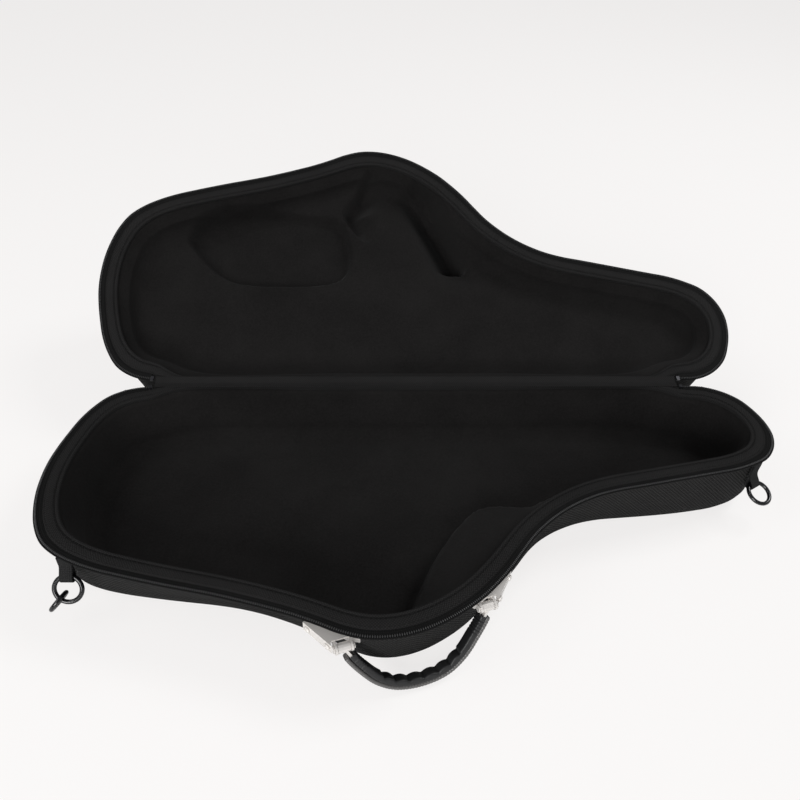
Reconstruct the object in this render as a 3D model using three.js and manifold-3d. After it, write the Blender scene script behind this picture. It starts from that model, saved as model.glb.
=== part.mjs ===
// Alto saxophone bag: a moulded hard-shell bag that opens flat on a cloth hinge.
// Millimetres. +X towards the neck end, -Y towards the handle, +Z up.
// The origin is the middle of the base's flat underside.
// A point on a half is given by its way round the rim, its inset from the zip line and its depth
// below the parting plane, where the two closed rims meet.
import * as THREE from 'three';
import { mergeVertices } from 'three/addons/utils/BufferGeometryUtils.js';
import Module from 'manifold-3d';

const wasm = await Module();
wasm.setup();

// Overall sizes
const bagLength = 644;
const bagWidth = 282;
const baseDepth = 66;
const lidDepth = 89;

// Clearances
const seatGap = 0.3;
const rimGap = 0.4;
const cutOverrun = 3;

// Rim, outside to inside
const coilWidth = 4;
const coilHeight = 2.6;
const tapeReveal = 3;
const tapeThickness = 1;
const bindingWidth = 12;
const bindingHeight = 3.6;
const hingeBindingWidth = 4;
const hingeInset = 0.2;
const cornerRun = 24;

// Moulded shells
const shellWall = 2.6;
const edgeRadius = 22;
const hingeDraftDegrees = 6;

// Cloth hinge
const hingeSetback = 3;
const hingeEndMargin = 6;

// Moulded linings
const baseFloorDepth = 52;
const lidFloorDepth = 27;
const baseWallRun = 10;
const lidWallRun = 8;
const baseFloorRadius = 14;
const lidFloorRadius = 14;
const liningWall = 2.5;

// Bell stop in the base: a sloping facet beside the bell
const stopLipDepth = 7;
const stopFootDepth = 30;
const stopWallRun = 7;

// Relief in the lid lining
const recessDepth = 14;
const recessSlope = 6;
const bellRecessDepth = 27;

// Handle
const handleBulge = 48;
const handleBowShares = [
  [1, 0], [0.915, 0.21], [0.755, 0.48], [0.57, 0.74], [0.33, 0.93], [0, 1],
  [-0.36, 0.93], [-0.61, 0.74], [-0.79, 0.48], [-0.93, 0.21], [-1, 0],
];
const gripThickness = 6.6;
const gripEndThickness = 8;
const gripWidth = 11.6;
const gripEdgeRadius = 1.4;
const scallopDepth = 2.2;
const scallopCount = 4;
const armShare = 0.27;
const pivotInset = 4.6;
const spineThickness = 2.2;
const spineWidth = 9;
const pivotHeight = 45.8;
const tangLength = 18;
const tangThickness = 2;
const tangWidth = 7;
const tangEyeRadius = 3.7;
const pinRadius = 2;
const pinRunningGap = 0.25;

// Handle brackets and rivets
const foldLength = 27;
const farOutset = 4.5;
const bracketTopDepth = 16;
const bracketHeight = 12;
const frontHeight = 8.8;
const bracketSheet = 1.5;
const bracketCorner = 3;
const earThickness = 1.8;
const earRadius = 4.1;
const earLength = 12;
const earSpacing = 9.6;
const pinHeadRadius = 2.9;
const pinHeadHeight = 1;
const rivetHeadRadius = 2.6;
const rivetHeadHeight = 1.3;
const rivetShankRadius = 1.3;
const rivetBite = 1;
const rivetEdge = 4.4;

// Strap rings on their webbing tabs
const tabWidth = 10;
const tabThickness = 3;
const leftTabTurnDegrees = 28;
const rightTabTurnDegrees = 0;
const webbingFold = 1.4;
const leftEyeHeight = 44;
const rightEyeHeight = 36;
const leftLeanDegrees = 30;
const rightLeanDegrees = 66;
const ringRadius = 10.4;
const ringWire = 1.8;
const linkRadius = 7.8;
const linkTurnDegrees = 52;

// Zip sliders and pullers
const sliderLength = 11;
const sliderHeight = 9;
const sliderThickness = 5;
const sliderEnd = 20;
const archReach = 4.2;
const archWidth = 2.6;
const archWall = 1.3;
const archHeight = 6.4;
const pullerWidth = 8;
const pullerLength = 26;
const pullerThickness = 1.6;
const pullerBar = 1.8;
const pullerWindow = 4.6;
const pullerCorner = 2;
const stopLength = 3;

// Rim outline, as shares of the length and of the width, from the left end of the hinge
// round the front to its right end, and how far the wall's foot lies inside it
const outlineShares = [
  [0.0964, 0, 0.02], [0.0547, 0.03, 0.035], [0.0258, 0.118, 0.045], [0.0084, 0.25, 0.05],
  [0, 0.397, 0.052], [0.0084, 0.557, 0.048], [0.0338, 0.683, 0.045], [0.0805, 0.757, 0.057],
  [0.163, 0.818, 0.078], [0.2564, 0.872, 0.097], [0.3399, 0.934, 0.085], [0.3916, 0.985, 0.066],
  [0.4273, 1, 0.057], [0.482, 0.974, 0.05], [0.5416, 0.892, 0.048], [0.5863, 0.787, 0.045],
  [0.6211, 0.683, 0.042], [0.6658, 0.593, 0.06], [0.7205, 0.529, 0.06], [0.792, 0.491, 0.039],
  [0.8654, 0.455, 0.022], [0.9303, 0.42, 0.018], [0.9752, 0.365, 0.026], [0.998, 0.27, 0.028],
  [0.997, 0.165, 0.026], [0.9766, 0.06, 0.024], [0.9407, 0.008, 0.02], [0.9043, 0, 0.02],
];

// Ways round the free edge, from the left end of the hinge to its right end
const leftTabShare = 0.233;
const rightTabShare = 0.852;

// Plan places of the handle's two pivots, as shares of the length and of the width
const leftPivotShares = [0.3891, 0.973];
const rightPivotShares = [0.5530, 0.86];

// Bell stop in the base: its edge along the rim, then its foot, in plan shares
const stopRimShares = [
  [0.455, 0.935], [0.512, 0.868], [0.553, 0.8], [0.589, 0.69], [0.63, 0.572], [0.662, 0.51],
];
const stopFootShares = [
  [0.471, 0.843], [0.489, 0.746], [0.51, 0.648], [0.5404, 0.547], [0.5682, 0.49], [0.632, 0.488],
];

// Rounded recess in the lid, and the bell recess beside its straight stop wall, in plan shares
const recessShares = [
  [0.1212, 0.64], [0.1411, 0.52], [0.1888, 0.457], [0.3876, 0.44], [0.3995, 0.52], [0.3737, 0.68],
  [0.3379, 0.755], [0.2087, 0.735], [0.1441, 0.71],
];
const bellMouthShares = [
  [0.487, 0.905], [0.5267, 0.79], [0.5694, 0.48], [0.5168, 0.36], [0.4025, 0.38], [0.4094, 0.64],
  [0.3856, 0.79], [0.4273, 0.925],
];
const bellFloorShares = [
  [0.484, 0.875], [0.5088, 0.77], [0.5486, 0.52], [0.5168, 0.39], [0.4174, 0.41], [0.4273, 0.65],
  [0.4273, 0.78], [0.4373, 0.885],
];
const bellFloorDepthShares = [0.45, 0.85, 1, 0.12, 0.02, 0.3, 0.45, 0.4];

// Counts of steps
const hingeSteps = 3;
const freeSteps = 56;
const insetSteps = 6;
const filletSteps = 3;
const recessSteps = 22;
const roundSides = 10;
const wireSides = 8;
const loopSteps = 18;
const pinSides = 12;
const gripSteps = 24;

// Worked out
const hingeY = bagWidth / 2;
const axisY = hingeY + hingeSetback;
const partingZ = baseDepth + rimGap;
const seatDepth = rimGap + bindingHeight + seatGap;
const wallInset = coilWidth + tapeReveal + seatGap;
const creaseInset = coilWidth + tapeReveal + bindingWidth + seatGap;
const hingeCreaseInset = hingeInset + hingeBindingWidth + seatGap;
const hingeDraft = Math.tan(THREE.MathUtils.degToRad(hingeDraftDegrees));

// Finishes, with colours seen in the photo
const finish = (colour, roughness, metalness = 0) =>
  new THREE.MeshStandardMaterial({ color: colour, roughness, metalness });
const wovenCloth = finish(0x2b2b2c, 0.9);
const bindingCloth = finish(0x242424, 0.85);
const liningCloth = finish(0x1b1a1b, 0.95);
const zipPlastic = finish(0x1d1d1e, 0.5);
const gripRubber = finish(0x242628, 0.6);
const spineRubber = finish(0x3a3c3e, 0.5);
const webbingCloth = finish(0x222223, 0.85);
const glossPlastic = finish(0x121214, 0.25);
const brightSteel = finish(0xcfcdca, 0.3, 0.9);
const darkSteel = finish(0x2a2a2c, 0.35, 0.8);

const mix = THREE.MathUtils.lerp;
const vector = (x, y, z) => new THREE.Vector3(x, y, z);
const planPoint = ([lengthShare, widthShare, footShare = 0]) =>
  vector((lengthShare - 0.5) * bagLength, hingeY - widthShare * bagWidth, footShare * bagWidth);

// Geometry from corner points and triangles, faced outwards
function closedGeometry(points, triangles) {
  let volume = 0;
  for (const [a, b, c] of triangles) {
    volume += points[a].dot(vector(0, 0, 0).crossVectors(points[b], points[c]));
  }
  const faced = volume < 0 ? triangles.map(([a, b, c]) => [a, c, b]) : triangles;
  const geometry = new THREE.BufferGeometry();
  const flat = points.flatMap((p) => [p.x, p.y, p.z]);
  geometry.setAttribute('position', new THREE.Float32BufferAttribute(flat, 3));
  geometry.setIndex(faced.flat());
  geometry.computeVertexNormals();
  return geometry;
}

// Triangles that fill one ring, wound the same way as the ring
function capTriangles(ring, first, across) {
  const flat = ring.map(across);
  const wound = THREE.ShapeUtils.area(flat) > 0;
  return THREE.ShapeUtils.triangulateShape(flat, []).map((triangle) => {
    const kept = THREE.ShapeUtils.area(triangle.map((i) => flat[i])) > 0 === wound;
    return (kept ? triangle : [...triangle].reverse()).map((i) => i + first);
  });
}

const alongPlan = (p) => new THREE.Vector2(p.x, p.y);
const acrossHinge = (p) => new THREE.Vector2(p.y, p.z);

// Solid skinned over rings of equal length; the first and last rings are filled unless it closes.
// Each four-sided patch is split along the same diagonal seen from either side of a wall.
function skinned(rings, { closes = false, across = alongPlan } = {}) {
  const size = rings[0].length;
  const triangles = [];
  const strips = closes ? rings.length : rings.length - 1;
  for (let row = 0; row < strips; row += 1) {
    const next = (row + 1) % rings.length;
    for (let i = 0; i < size; i += 1) {
      const j = (i + 1) % size;
      const [a, b] = [row * size + i, row * size + j];
      const [c, d] = [next * size + i, next * size + j];
      const falls = rings[next][i].z < rings[row][i].z;
      triangles.push(...(falls ? [[a, b, c], [b, d, c]] : [[a, b, d], [a, d, c]]));
    }
  }
  if (!closes) {
    const last = rings.length - 1;
    const [near, far] = [rings[0], rings[last]];
    triangles.push(...capTriangles(near, 0, across).map(([a, b, c]) => [a, c, b]));
    triangles.push(...capTriangles(far, last * size, across));
  }
  return closedGeometry(rings.flat(), triangles);
}

// Booleans
function solidOf(geometry) {
  const bare = geometry.clone();
  bare.deleteAttribute('normal');
  bare.deleteAttribute('uv');
  const merged = mergeVertices(bare);
  return new wasm.Manifold(new wasm.Mesh({
    numProp: 3,
    vertProperties: new Float32Array(merged.attributes.position.array),
    triVerts: new Uint32Array(merged.index.array),
  }));
}

function geometryOf(solid) {
  const mesh = solid.getMesh();
  const geometry = new THREE.BufferGeometry();
  geometry.setAttribute('position', new THREE.Float32BufferAttribute(mesh.vertProperties, 3));
  geometry.setIndex(Array.from(mesh.triVerts));
  geometry.computeVertexNormals();
  return geometry;
}

// Rim line: the spline round the free edge and the straight hinge edge.
// The spline's third coordinate carries how far the wall's foot lies inside the rim.
const freeKnots = outlineShares.map(planPoint);
const freeCurve = new THREE.CatmullRomCurve3(freeKnots, false, 'centripetal');
const freeLength = freeCurve.getLength();
const hingeLeft = freeKnots[0].clone().setZ(0);
const hingeRight = freeKnots[freeKnots.length - 1].clone().setZ(0);

function rimLine() {
  const free = freeCurve.getSpacedPoints(freeSteps);
  const along = hingeLeft.clone().sub(hingeRight).normalize();
  const first = hingeRight.clone().addScaledVector(along, cornerRun);
  const last = hingeLeft.clone().addScaledVector(along, -cornerRun);
  for (let step = 0; step <= hingeSteps; step += 1) {
    free.push(first.clone().lerp(last, step / hingeSteps));
  }
  return free;
}

const rimFeet = rimLine().map((point) => point.z);
const rimPoints = rimLine().map((point) => point.setZ(0));
const rimCount = rimPoints.length;
const isFree = (i) => i <= freeSteps;

// Distance between the two neighbours of each rim point
const rimSpans = rimPoints.map((point, i) =>
  rimPoints[(i + 1) % rimCount].distanceTo(rimPoints[(i + rimCount - 1) % rimCount]));

// Closed line drawn inwards by a distance for each point; the line is eased as it goes, so that
// tight corners open out instead of crossing
function drawnInwards(distances) {
  let line = rimPoints.map((point) => point.clone());
  for (let step = 0; step < insetSteps; step += 1) {
    line = line.map((point, i) => {
      const before = line[(i + rimCount - 1) % rimCount];
      const after = line[(i + 1) % rimCount];
      const along = after.clone().sub(before).normalize();
      const reach = distances[i] / insetSteps;
      const shortened = 1 - after.distanceTo(before) / rimSpans[i];
      const eased = point.clone().lerp(before.clone().lerp(after, 0.5),
        Math.max(Math.min(0.5, reach / edgeRadius) * 0.6, Math.min(1, shortened)));
      return eased.addScaledVector(vector(-along.y, along.x, 0), reach);
    });
  }
  return line;
}

// One half of the bag in its closed place; upward is 1 for the lid and -1 for the base
class Half {
  constructor(upward, depth, floorDepth, wallRun, floorRadius) {
    this.upward = upward;
    this.depth = depth + rimGap;
    this.bend = this.depth - edgeRadius;
    this.hingeFoot = hingeInset + (this.bend - seatDepth) * hingeDraft;
    this.floorDepth = floorDepth;
    this.wallRun = wallRun;
    this.floorRadius = floorRadius;
  }

  height(depth) {
    return partingZ + this.upward * depth;
  }

  // Ring round the rim at an inset and a depth, which may differ on the hinge side
  ring(freeInset, hingeSideInset, depth) {
    const insets = rimPoints.map((point, i) => (isFree(i) ? freeInset : hingeSideInset));
    return drawnInwards(insets).map((point) => point.setZ(this.height(depth)));
  }

  // Inset of the outside at a depth, drawn inwards by a margin: the sloping wall, then the fillet
  outsideInset(i, depth, margin) {
    const share = THREE.MathUtils.clamp((depth - seatDepth) / (this.bend - seatDepth), 0, 1);
    const wall = isFree(i) ? mix(wallInset, rimFeet[i], share)
      : mix(hingeInset, this.hingeFoot, share);
    const radius = edgeRadius - margin;
    const over = Math.min(1, Math.max(0, depth - this.bend) / radius);
    return wall + margin + radius * (1 - Math.sqrt(1 - over * over));
  }

  wallRing(depth, margin = 0) {
    const insets = rimPoints.map((point, i) => this.outsideInset(i, depth, margin));
    return drawnInwards(insets).map((point) => point.setZ(this.height(depth)));
  }

  // Rings of a tub from its mouth to its floor, thinned inwards by a margin
  tub(margin) {
    const rings = [this.wallRing(seatDepth, margin)];
    for (let step = 0; step <= filletSteps; step += 1) {
      const turn = (step / filletSteps) * (Math.PI / 2);
      rings.push(this.wallRing(this.bend + (edgeRadius - margin) * Math.sin(turn), margin));
    }
    return rings;
  }

  shell() {
    return skinned([...this.tub(0).reverse(), ...this.tub(shellWall)]);
  }

  // Rings of the lined hollow, from the crease at the rim to the floor
  hollow() {
    const margin = shellWall + seatGap + liningWall;
    const rings = [this.ring(creaseInset, hingeCreaseInset, seatDepth)];
    for (let step = 0; step <= filletSteps; step += 1) {
      const turn = (step / filletSteps) * (Math.PI / 2);
      const inwards = this.wallRun + this.floorRadius * (1 - Math.cos(turn));
      const depth = this.floorDepth - this.floorRadius * (1 - Math.sin(turn));
      const insets = rimPoints.map((point, i) => Math.max(this.outsideInset(i, depth, margin),
        inwards + (isFree(i) ? creaseInset : hingeCreaseInset)));
      rings.push(drawnInwards(insets).map((point) => point.setZ(this.height(depth))));
    }
    return rings;
  }

  lining() {
    return skinned([...this.tub(shellWall + seatGap).reverse(), ...this.hollow()]);
  }

  // Padded border over the tops of the shell and the lining
  binding() {
    const outer = wallInset - seatGap;
    const inner = creaseInset - seatGap;
    const hingeInner = hingeInset + hingeBindingWidth;
    const low = rimGap + bindingHeight;
    const shoulder = mix(rimGap, low, 0.2);
    const profileShares = [[0, low], [0, shoulder], [0.25, rimGap], [0.75, rimGap],
      [1, shoulder], [1, low]];
    const rings = profileShares.map(([share, depth]) =>
      this.ring(mix(outer, inner, share), mix(hingeInset, hingeInner, share), depth));
    return skinned(rings, { closes: true });
  }

  // Sections across the free edge, with corners given by inset and depth
  sections(corners) {
    const rings = corners.map(([inset, depth]) => this.ring(inset, hingeInset, depth));
    return rimPoints.filter((point, i) => isFree(i)).map((point, i) =>
      rings.map((ring) => ring[i]));
  }

  // Zip tape with its coil, from one end of the hinge round to the other
  zip() {
    const coilLow = rimGap + coilHeight;
    const tapeTop = coilLow - tapeThickness;
    const border = wallInset - 2 * seatGap;
    return skinned(this.sections([
      [0, rimGap], [coilWidth, rimGap], [coilWidth, tapeTop], [border, tapeTop],
      [border, coilLow], [0, coilLow],
    ]), { across: acrossHinge });
  }

  // Metal stop that closes one end of the zip
  zipStop(atRight) {
    const coilLow = rimGap + coilHeight;
    const sections = this.sections([
      [0, rimGap], [coilWidth, rimGap], [coilWidth, coilLow], [0, coilLow]]);
    const end = atRight ? sections[freeSteps] : sections[0];
    const inwards = atRight ? -1 : 1;
    const rings = [seatGap, seatGap + stopLength].map((reach) =>
      end.map((corner) => corner.clone().add(vector(inwards * reach, 0, 0))));
    return skinned(rings, { across: acrossHinge });
  }
}

const baseHalf = new Half(-1, baseDepth, baseFloorDepth, baseWallRun, baseFloorRadius);
const lidHalf = new Half(1, lidDepth, lidFloorDepth, lidWallRun, lidFloorRadius);

// Smooth closed line through corners given as plan shares and depths
function smoothRing(half, shares, depths) {
  const corners = shares.map((share, i) => planPoint(share).setZ(half.height(depths[i])));
  return new THREE.CatmullRomCurve3(corners, true).getPoints(recessSteps).slice(0, -1);
}

// Solid between two outlines of equal length, each corner at its own depth
function carved(half, upperShares, upperDepths, lowerShares, lowerDepths) {
  return solidOf(skinned([
    smoothRing(half, upperShares, upperDepths), smoothRing(half, lowerShares, lowerDepths)]));
}

// Outline drawn in towards its middle by a slope
function drawnIn(shares, slope) {
  const middle = shares.reduce((sum, share) => sum.add(planPoint(share)), vector(0, 0, 0))
    .divideScalar(shares.length);
  return shares.map((share) => {
    const place = planPoint(share);
    const reach = place.distanceTo(middle);
    place.lerp(middle, slope / reach);
    return [place.x / bagLength + 0.5, (hingeY - place.y) / bagWidth];
  });
}

// Base lining: a tub with the bell stop standing in it
function baseLining() {
  const tub = solidOf(baseHalf.lining());
  const count = stopRimShares.length;
  const outline = [...stopRimShares, ...[...stopFootShares].reverse()];
  const lips = outline.map((share, i) => (i < count ? stopLipDepth : stopFootDepth));
  const floors = outline.map(() => baseFloorDepth + cutOverrun);
  const spread = outline.map(([lengthShare, widthShare], i) =>
    (i < count ? [lengthShare, widthShare]
      : [lengthShare - stopWallRun / bagLength, widthShare - stopWallRun / bagWidth]));
  const block = carved(baseHalf, outline, lips, spread, floors);
  const outside = solidOf(skinned(baseHalf.tub(shellWall + seatGap)));
  return geometryOf(tub.add(block.intersect(outside)));
}

// Lid lining: a shallow tray with the rounded recess and the bell recess
function lidLining() {
  const tray = solidOf(lidHalf.lining());
  const level = lidFloorDepth - cutOverrun;
  const sunk = lidFloorDepth + recessDepth;
  const recess = carved(lidHalf, recessShares, recessShares.map(() => level),
    drawnIn(recessShares, recessSlope), recessShares.map(() => sunk));
  const bell = carved(lidHalf, bellMouthShares, bellMouthShares.map(() => level),
    bellFloorShares, bellFloorDepthShares.map((share) => lidFloorDepth + share * bellRecessDepth));
  return geometryOf(tray.subtract(recess).subtract(bell));
}

// Way round the free edge that lies nearest to a plan point
function nearestShare(place) {
  const samples = freeCurve.getSpacedPoints(freeSteps * insetSteps);
  const gaps = samples.map((sample) => Math.hypot(sample.x - place.x, sample.y - place.y));
  return gaps.indexOf(Math.min(...gaps)) / (samples.length - 1);
}

// Length over which the wall's slope is taken
const wallProbe = edgeRadius / 2;

// Place on the outside of the base's wall: along the wall, out from it, and up
function wallFrame(share, depth) {
  const way = share * freeSteps;
  const i = Math.floor(way);
  const edge = (level) => baseHalf.wallRing(level, 0).slice(i, i + 2);
  const [near, far] = edge(depth);
  const place = near.clone().lerp(far, way - i);
  const along = far.clone().sub(near).setZ(0).normalize();
  const [lowNear, lowFar] = edge(depth + wallProbe);
  const down = lowNear.lerp(lowFar, way - i).sub(place).normalize();
  const out = vector(0, 0, 0).crossVectors(down, along).normalize();
  const up = vector(0, 0, 0).crossVectors(out, along).normalize();
  if (up.z < 0) up.negate();
  return { place, along, out, up };
}

// Base shell's outside grown outwards, for pieces formed to its wall
function grownWall(outset) {
  return solidOf(skinned([
    baseHalf.wallRing(seatDepth, -outset), baseHalf.wallRing(baseHalf.bend, -outset)]));
}

// Placement with its x and y axes along two given directions
function placement(xAxis, yAxis, place) {
  const zAxis = vector(0, 0, 0).crossVectors(xAxis, yAxis);
  return new THREE.Matrix4().makeBasis(xAxis, yAxis, zAxis).setPosition(place);
}

// Rounded rectangle about the origin
function roundedRectangle(width, height, corner) {
  const [w, h] = [width / 2, height / 2];
  const shape = new THREE.Shape();
  shape.moveTo(-w + corner, -h);
  shape.lineTo(w - corner, -h);
  shape.absarc(w - corner, -h + corner, corner, -Math.PI / 2, 0);
  shape.absarc(w - corner, h - corner, corner, 0, Math.PI / 2);
  shape.absarc(-w + corner, h - corner, corner, Math.PI / 2, Math.PI);
  shape.absarc(-w + corner, -h + corner, corner, Math.PI, Math.PI * 1.5);
  return shape;
}

function extruded(shape, thickness, curveSegments = filletSteps) {
  const geometry = new THREE.ExtrudeGeometry(shape, {
    depth: thickness, bevelEnabled: false, curveSegments,
  });
  return geometry.translate(0, 0, -thickness / 2);
}

// Cylinder along a direction, from a starting point
function rod(radius, length, start, direction, sides = pinSides) {
  const geometry = new THREE.CylinderGeometry(radius, radius, length, sides);
  geometry.translate(0, length / 2, 0);
  const turn = new THREE.Quaternion().setFromUnitVectors(vector(0, 1, 0), direction);
  geometry.applyQuaternion(turn);
  return geometry.translate(start.x, start.y, start.z);
}

// Handle frame: the swing axis from the left pivot to the right one, and the droop to the table
const leftPivot = planPoint(leftPivotShares).setZ(pivotHeight);
const rightPivot = planPoint(rightPivotShares).setZ(pivotHeight);
const pivotMiddle = leftPivot.clone().lerp(rightPivot, 0.5);
const pivotReach = leftPivot.distanceTo(rightPivot) / 2;
const swingAxis = rightPivot.clone().sub(leftPivot).normalize();
const handleOut = vector(swingAxis.y, -swingAxis.x, 0);
const spineHalf = spineWidth / 2;
const handleDroop = Math.asin((pivotHeight - seatGap) / Math.hypot(handleBulge, spineHalf))
  - Math.atan2(spineHalf, handleBulge);
const handleReach = handleOut.clone().multiplyScalar(Math.cos(handleDroop))
  .add(vector(0, 0, -Math.sin(handleDroop)));
const handleMatrix = placement(swingAxis, handleReach, pivotMiddle);

// Outer line of the handle's bow, from its right end to its left end
const bowHalfSpan = pivotReach + pivotInset;
const bowKnots = handleBowShares.map(([across, out]) =>
  vector(across * bowHalfSpan, out * handleBulge, 0));
const bow = new THREE.CatmullRomCurve3(bowKnots, false, 'centripetal');

// Point of the bow at a share of its length, drawn inwards by an inset
function bowPoint(share, inset) {
  const along = bow.getTangentAt(share);
  return bow.getPointAt(share).addScaledVector(vector(-along.y, along.x, 0), inset);
}

// The grip starts beyond the ears
const gripStartShare = (2 * earRadius + 5 * seatGap) / bow.getLength();

function handleGrip() {
  const outer = [];
  const inner = [];
  for (let step = 0; step <= gripSteps; step += 1) {
    const share = mix(gripStartShare, 1 - gripStartShare, step / gripSteps);
    const middle = (share - armShare) / (1 - 2 * armShare);
    const inMiddle = middle >= 0 && middle <= 1;
    const fingers = Math.abs(Math.sin(middle * Math.PI * scallopCount));
    const thickness = inMiddle ? gripThickness + scallopDepth * (0.5 - fingers) : gripEndThickness;
    outer.push(bowPoint(share, spineThickness + seatGap));
    inner.push(bowPoint(share, thickness));
  }
  const shape = new THREE.Shape([...outer, ...inner.reverse()].map(alongPlan));
  const geometry = new THREE.ExtrudeGeometry(shape, {
    depth: gripWidth - 2 * gripEdgeRadius,
    bevelEnabled: true,
    bevelThickness: gripEdgeRadius,
    bevelSize: gripEdgeRadius * 0.6,
    bevelOffset: -gripEdgeRadius * 0.6,
    bevelSegments: 2,
  });
  geometry.translate(0, 0, gripEdgeRadius - gripWidth / 2);
  let grip = solidOf(geometry);
  for (const side of [-1, 1]) {
    grip = grip.subtract(solidOf(tongue(side, seatGap)));
  }
  return geometryOf(grip);
}

// Tongue of a tang, from its pin up into the grip's end
function tongue(side, grown = 0) {
  const pivot = vector(side * pivotReach, 0, 0);
  const entryShare = tangLength / bow.getLength();
  const middle = (spineThickness + seatGap + gripEndThickness) / 2;
  const tip = bowPoint(side > 0 ? entryShare : 1 - entryShare, middle);
  const run = tip.sub(pivot);
  const length = tangLength + grown;
  const blade = new THREE.BoxGeometry(tangThickness + 2 * grown, length, tangWidth + 2 * grown);
  blade.translate(0, length / 2, 0).rotateZ(Math.atan2(-run.x, run.y));
  return blade.translate(pivot.x, pivot.y, pivot.z);
}

// Steel tang: a round eye on the pin and the tongue
function tang(side) {
  const axis = vector(1, 0, 0);
  const width = earSpacing - 2 * seatGap;
  const place = (back) => vector(side * pivotReach - back, 0, 0);
  const eye = solidOf(rod(tangEyeRadius, width, place(width / 2), axis));
  const bore = solidOf(rod(pinRadius + pinRunningGap, 2 * width, place(width), axis));
  return geometryOf(solidOf(tongue(side)).add(eye).subtract(bore));
}

function handleSpine() {
  const outer = [];
  const inner = [];
  for (let step = 0; step <= gripSteps; step += 1) {
    const share = mix(gripStartShare, 1 - gripStartShare, step / gripSteps);
    outer.push(bowPoint(share, 0));
    inner.push(bowPoint(share, spineThickness));
  }
  const shape = new THREE.Shape([...outer, ...inner.reverse()].map(alongPlan));
  return extruded(shape, spineWidth);
}

// Side of a pivot that faces away from the handle: -1 for the left pivot, 1 for the right one
const awaySide = (pivot) => (pivot === leftPivot ? -1 : 1);

// Fold of the bracket in plan: from its near end beside the pin's head to its far end
function foldLine(pivot) {
  const away = awaySide(pivot);
  const side = earSpacing / 2 + earThickness + pinHeadHeight + 3 * seatGap;
  const near = pivot.clone().addScaledVector(swingAxis, away * side);
  const way = nearestShare(pivot) + (away * (side + foldLength)) / freeLength;
  const frame = wallFrame(way, bracketTopDepth);
  const out = vector(frame.out.x, frame.out.y, 0).normalize();
  const far = frame.place.clone().addScaledVector(out, farOutset);
  near.z = far.z;
  const along = near.clone().sub(far).normalize();
  const inwards = vector(-along.y, along.x, 0).multiplyScalar(-away);
  return { near, far, along, inwards };
}

// Upright prism over a plan polygon, between two heights
function prism(corners, low, high) {
  const shape = new THREE.Shape(corners.map(alongPlan));
  return solidOf(extruded(shape, high - low).translate(0, 0, (low + high) / 2));
}

// Folded sheet: a front plate, an end plate and a top plate that runs on over the ears
function foldedBox(pivot) {
  const { near, far, along, inwards } = foldLine(pivot);
  const top = near.z;
  const deep = earLength + farOutset;
  const outline = (margin, over) => [
    near.clone().addScaledVector(inwards, margin).addScaledVector(along, over),
    far.clone().addScaledVector(inwards, margin).addScaledVector(along, margin),
    far.clone().addScaledVector(inwards, deep).addScaledVector(along, margin),
    near.clone().addScaledVector(handleOut, -deep).addScaledVector(along, over),
  ];
  const inside = prism(outline(bracketSheet, bracketSheet),
    top - frontHeight - cutOverrun, top - bracketSheet);
  const away = awaySide(pivot);
  const edge = tangEyeRadius + 2 * seatGap;
  const over = [[-away * (earSpacing / 2 + earThickness), edge],
    [away * (earSpacing / 2 + earThickness + pinHeadHeight + 4 * seatGap), edge]];
  const front = over.map(([side, back]) =>
    pivot.clone().addScaledVector(swingAxis, side).addScaledVector(handleOut, -back));
  const rear = front.map((corner) => corner.clone().addScaledVector(handleOut, -deep)).reverse();
  return prism(outline(0, 0), top - frontHeight, top).subtract(inside)
    .add(prism([...front, ...rear], top - bracketSheet, top));
}

// Handle bracket: a plate formed to the wall, the folded box and two ears that hold the pin
function bracket(pivot) {
  const away = awaySide(pivot);
  const length = foldLength + earSpacing + 2 * earThickness;
  const way = nearestShare(pivot) + (away * foldLength) / 2 / freeLength;
  const frame = wallFrame(way, bracketTopDepth + bracketHeight / 2);
  const plateShape = roundedRectangle(length, bracketHeight, bracketCorner);
  const window = extruded(plateShape, length);
  window.applyMatrix4(placement(frame.along, frame.up, frame.place));
  const wall = grownWall(seatGap);
  let whole = grownWall(seatGap + bracketSheet).subtract(wall).intersect(solidOf(window));
  whole = whole.add(foldedBox(pivot).subtract(wall));
  const root = vector(-handleOut.x, -handleOut.y, 0).setLength(earLength);
  for (const side of [-1, 1]) {
    const middle = pivot.clone().addScaledVector(swingAxis,
      side * (earSpacing + earThickness) / 2);
    whole = whole.add(solidOf(ear(middle, root)).subtract(wall));
  }
  whole = whole.subtract(solidOf(rod(pinRadius + pinRunningGap, 2 * length,
    pivot.clone().addScaledVector(swingAxis, -length), swingAxis)));
  for (const { place, out, reach } of rivetFrames(pivot)) {
    const start = place.clone().addScaledVector(out, -reach - bracketSheet);
    const hole = rod(rivetShankRadius + seatGap, reach + 2 * bracketSheet, start, out);
    whole = whole.subtract(solidOf(hole));
  }
  return geometryOf(largest(whole));
}

// Largest of the separate pieces that a cut leaves
function largest(solid) {
  const pieces = solid.decompose();
  return pieces.reduce((best, piece) => (piece.volume() > best.volume() ? piece : best));
}

// Ear: a strip with a round end about the pin, standing across the swing axis
function ear(middle, root) {
  const shape = new THREE.Shape();
  shape.moveTo(0, -earRadius);
  shape.lineTo(root.length(), -earRadius);
  shape.lineTo(root.length(), earRadius);
  shape.lineTo(0, earRadius);
  shape.absarc(0, 0, earRadius, Math.PI / 2, Math.PI * 1.5);
  const towards = root.clone().normalize();
  const geometry = extruded(shape, earThickness, filletSteps * 2);
  return geometry.applyMatrix4(placement(towards, vector(0, 0, 1), middle));
}

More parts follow.
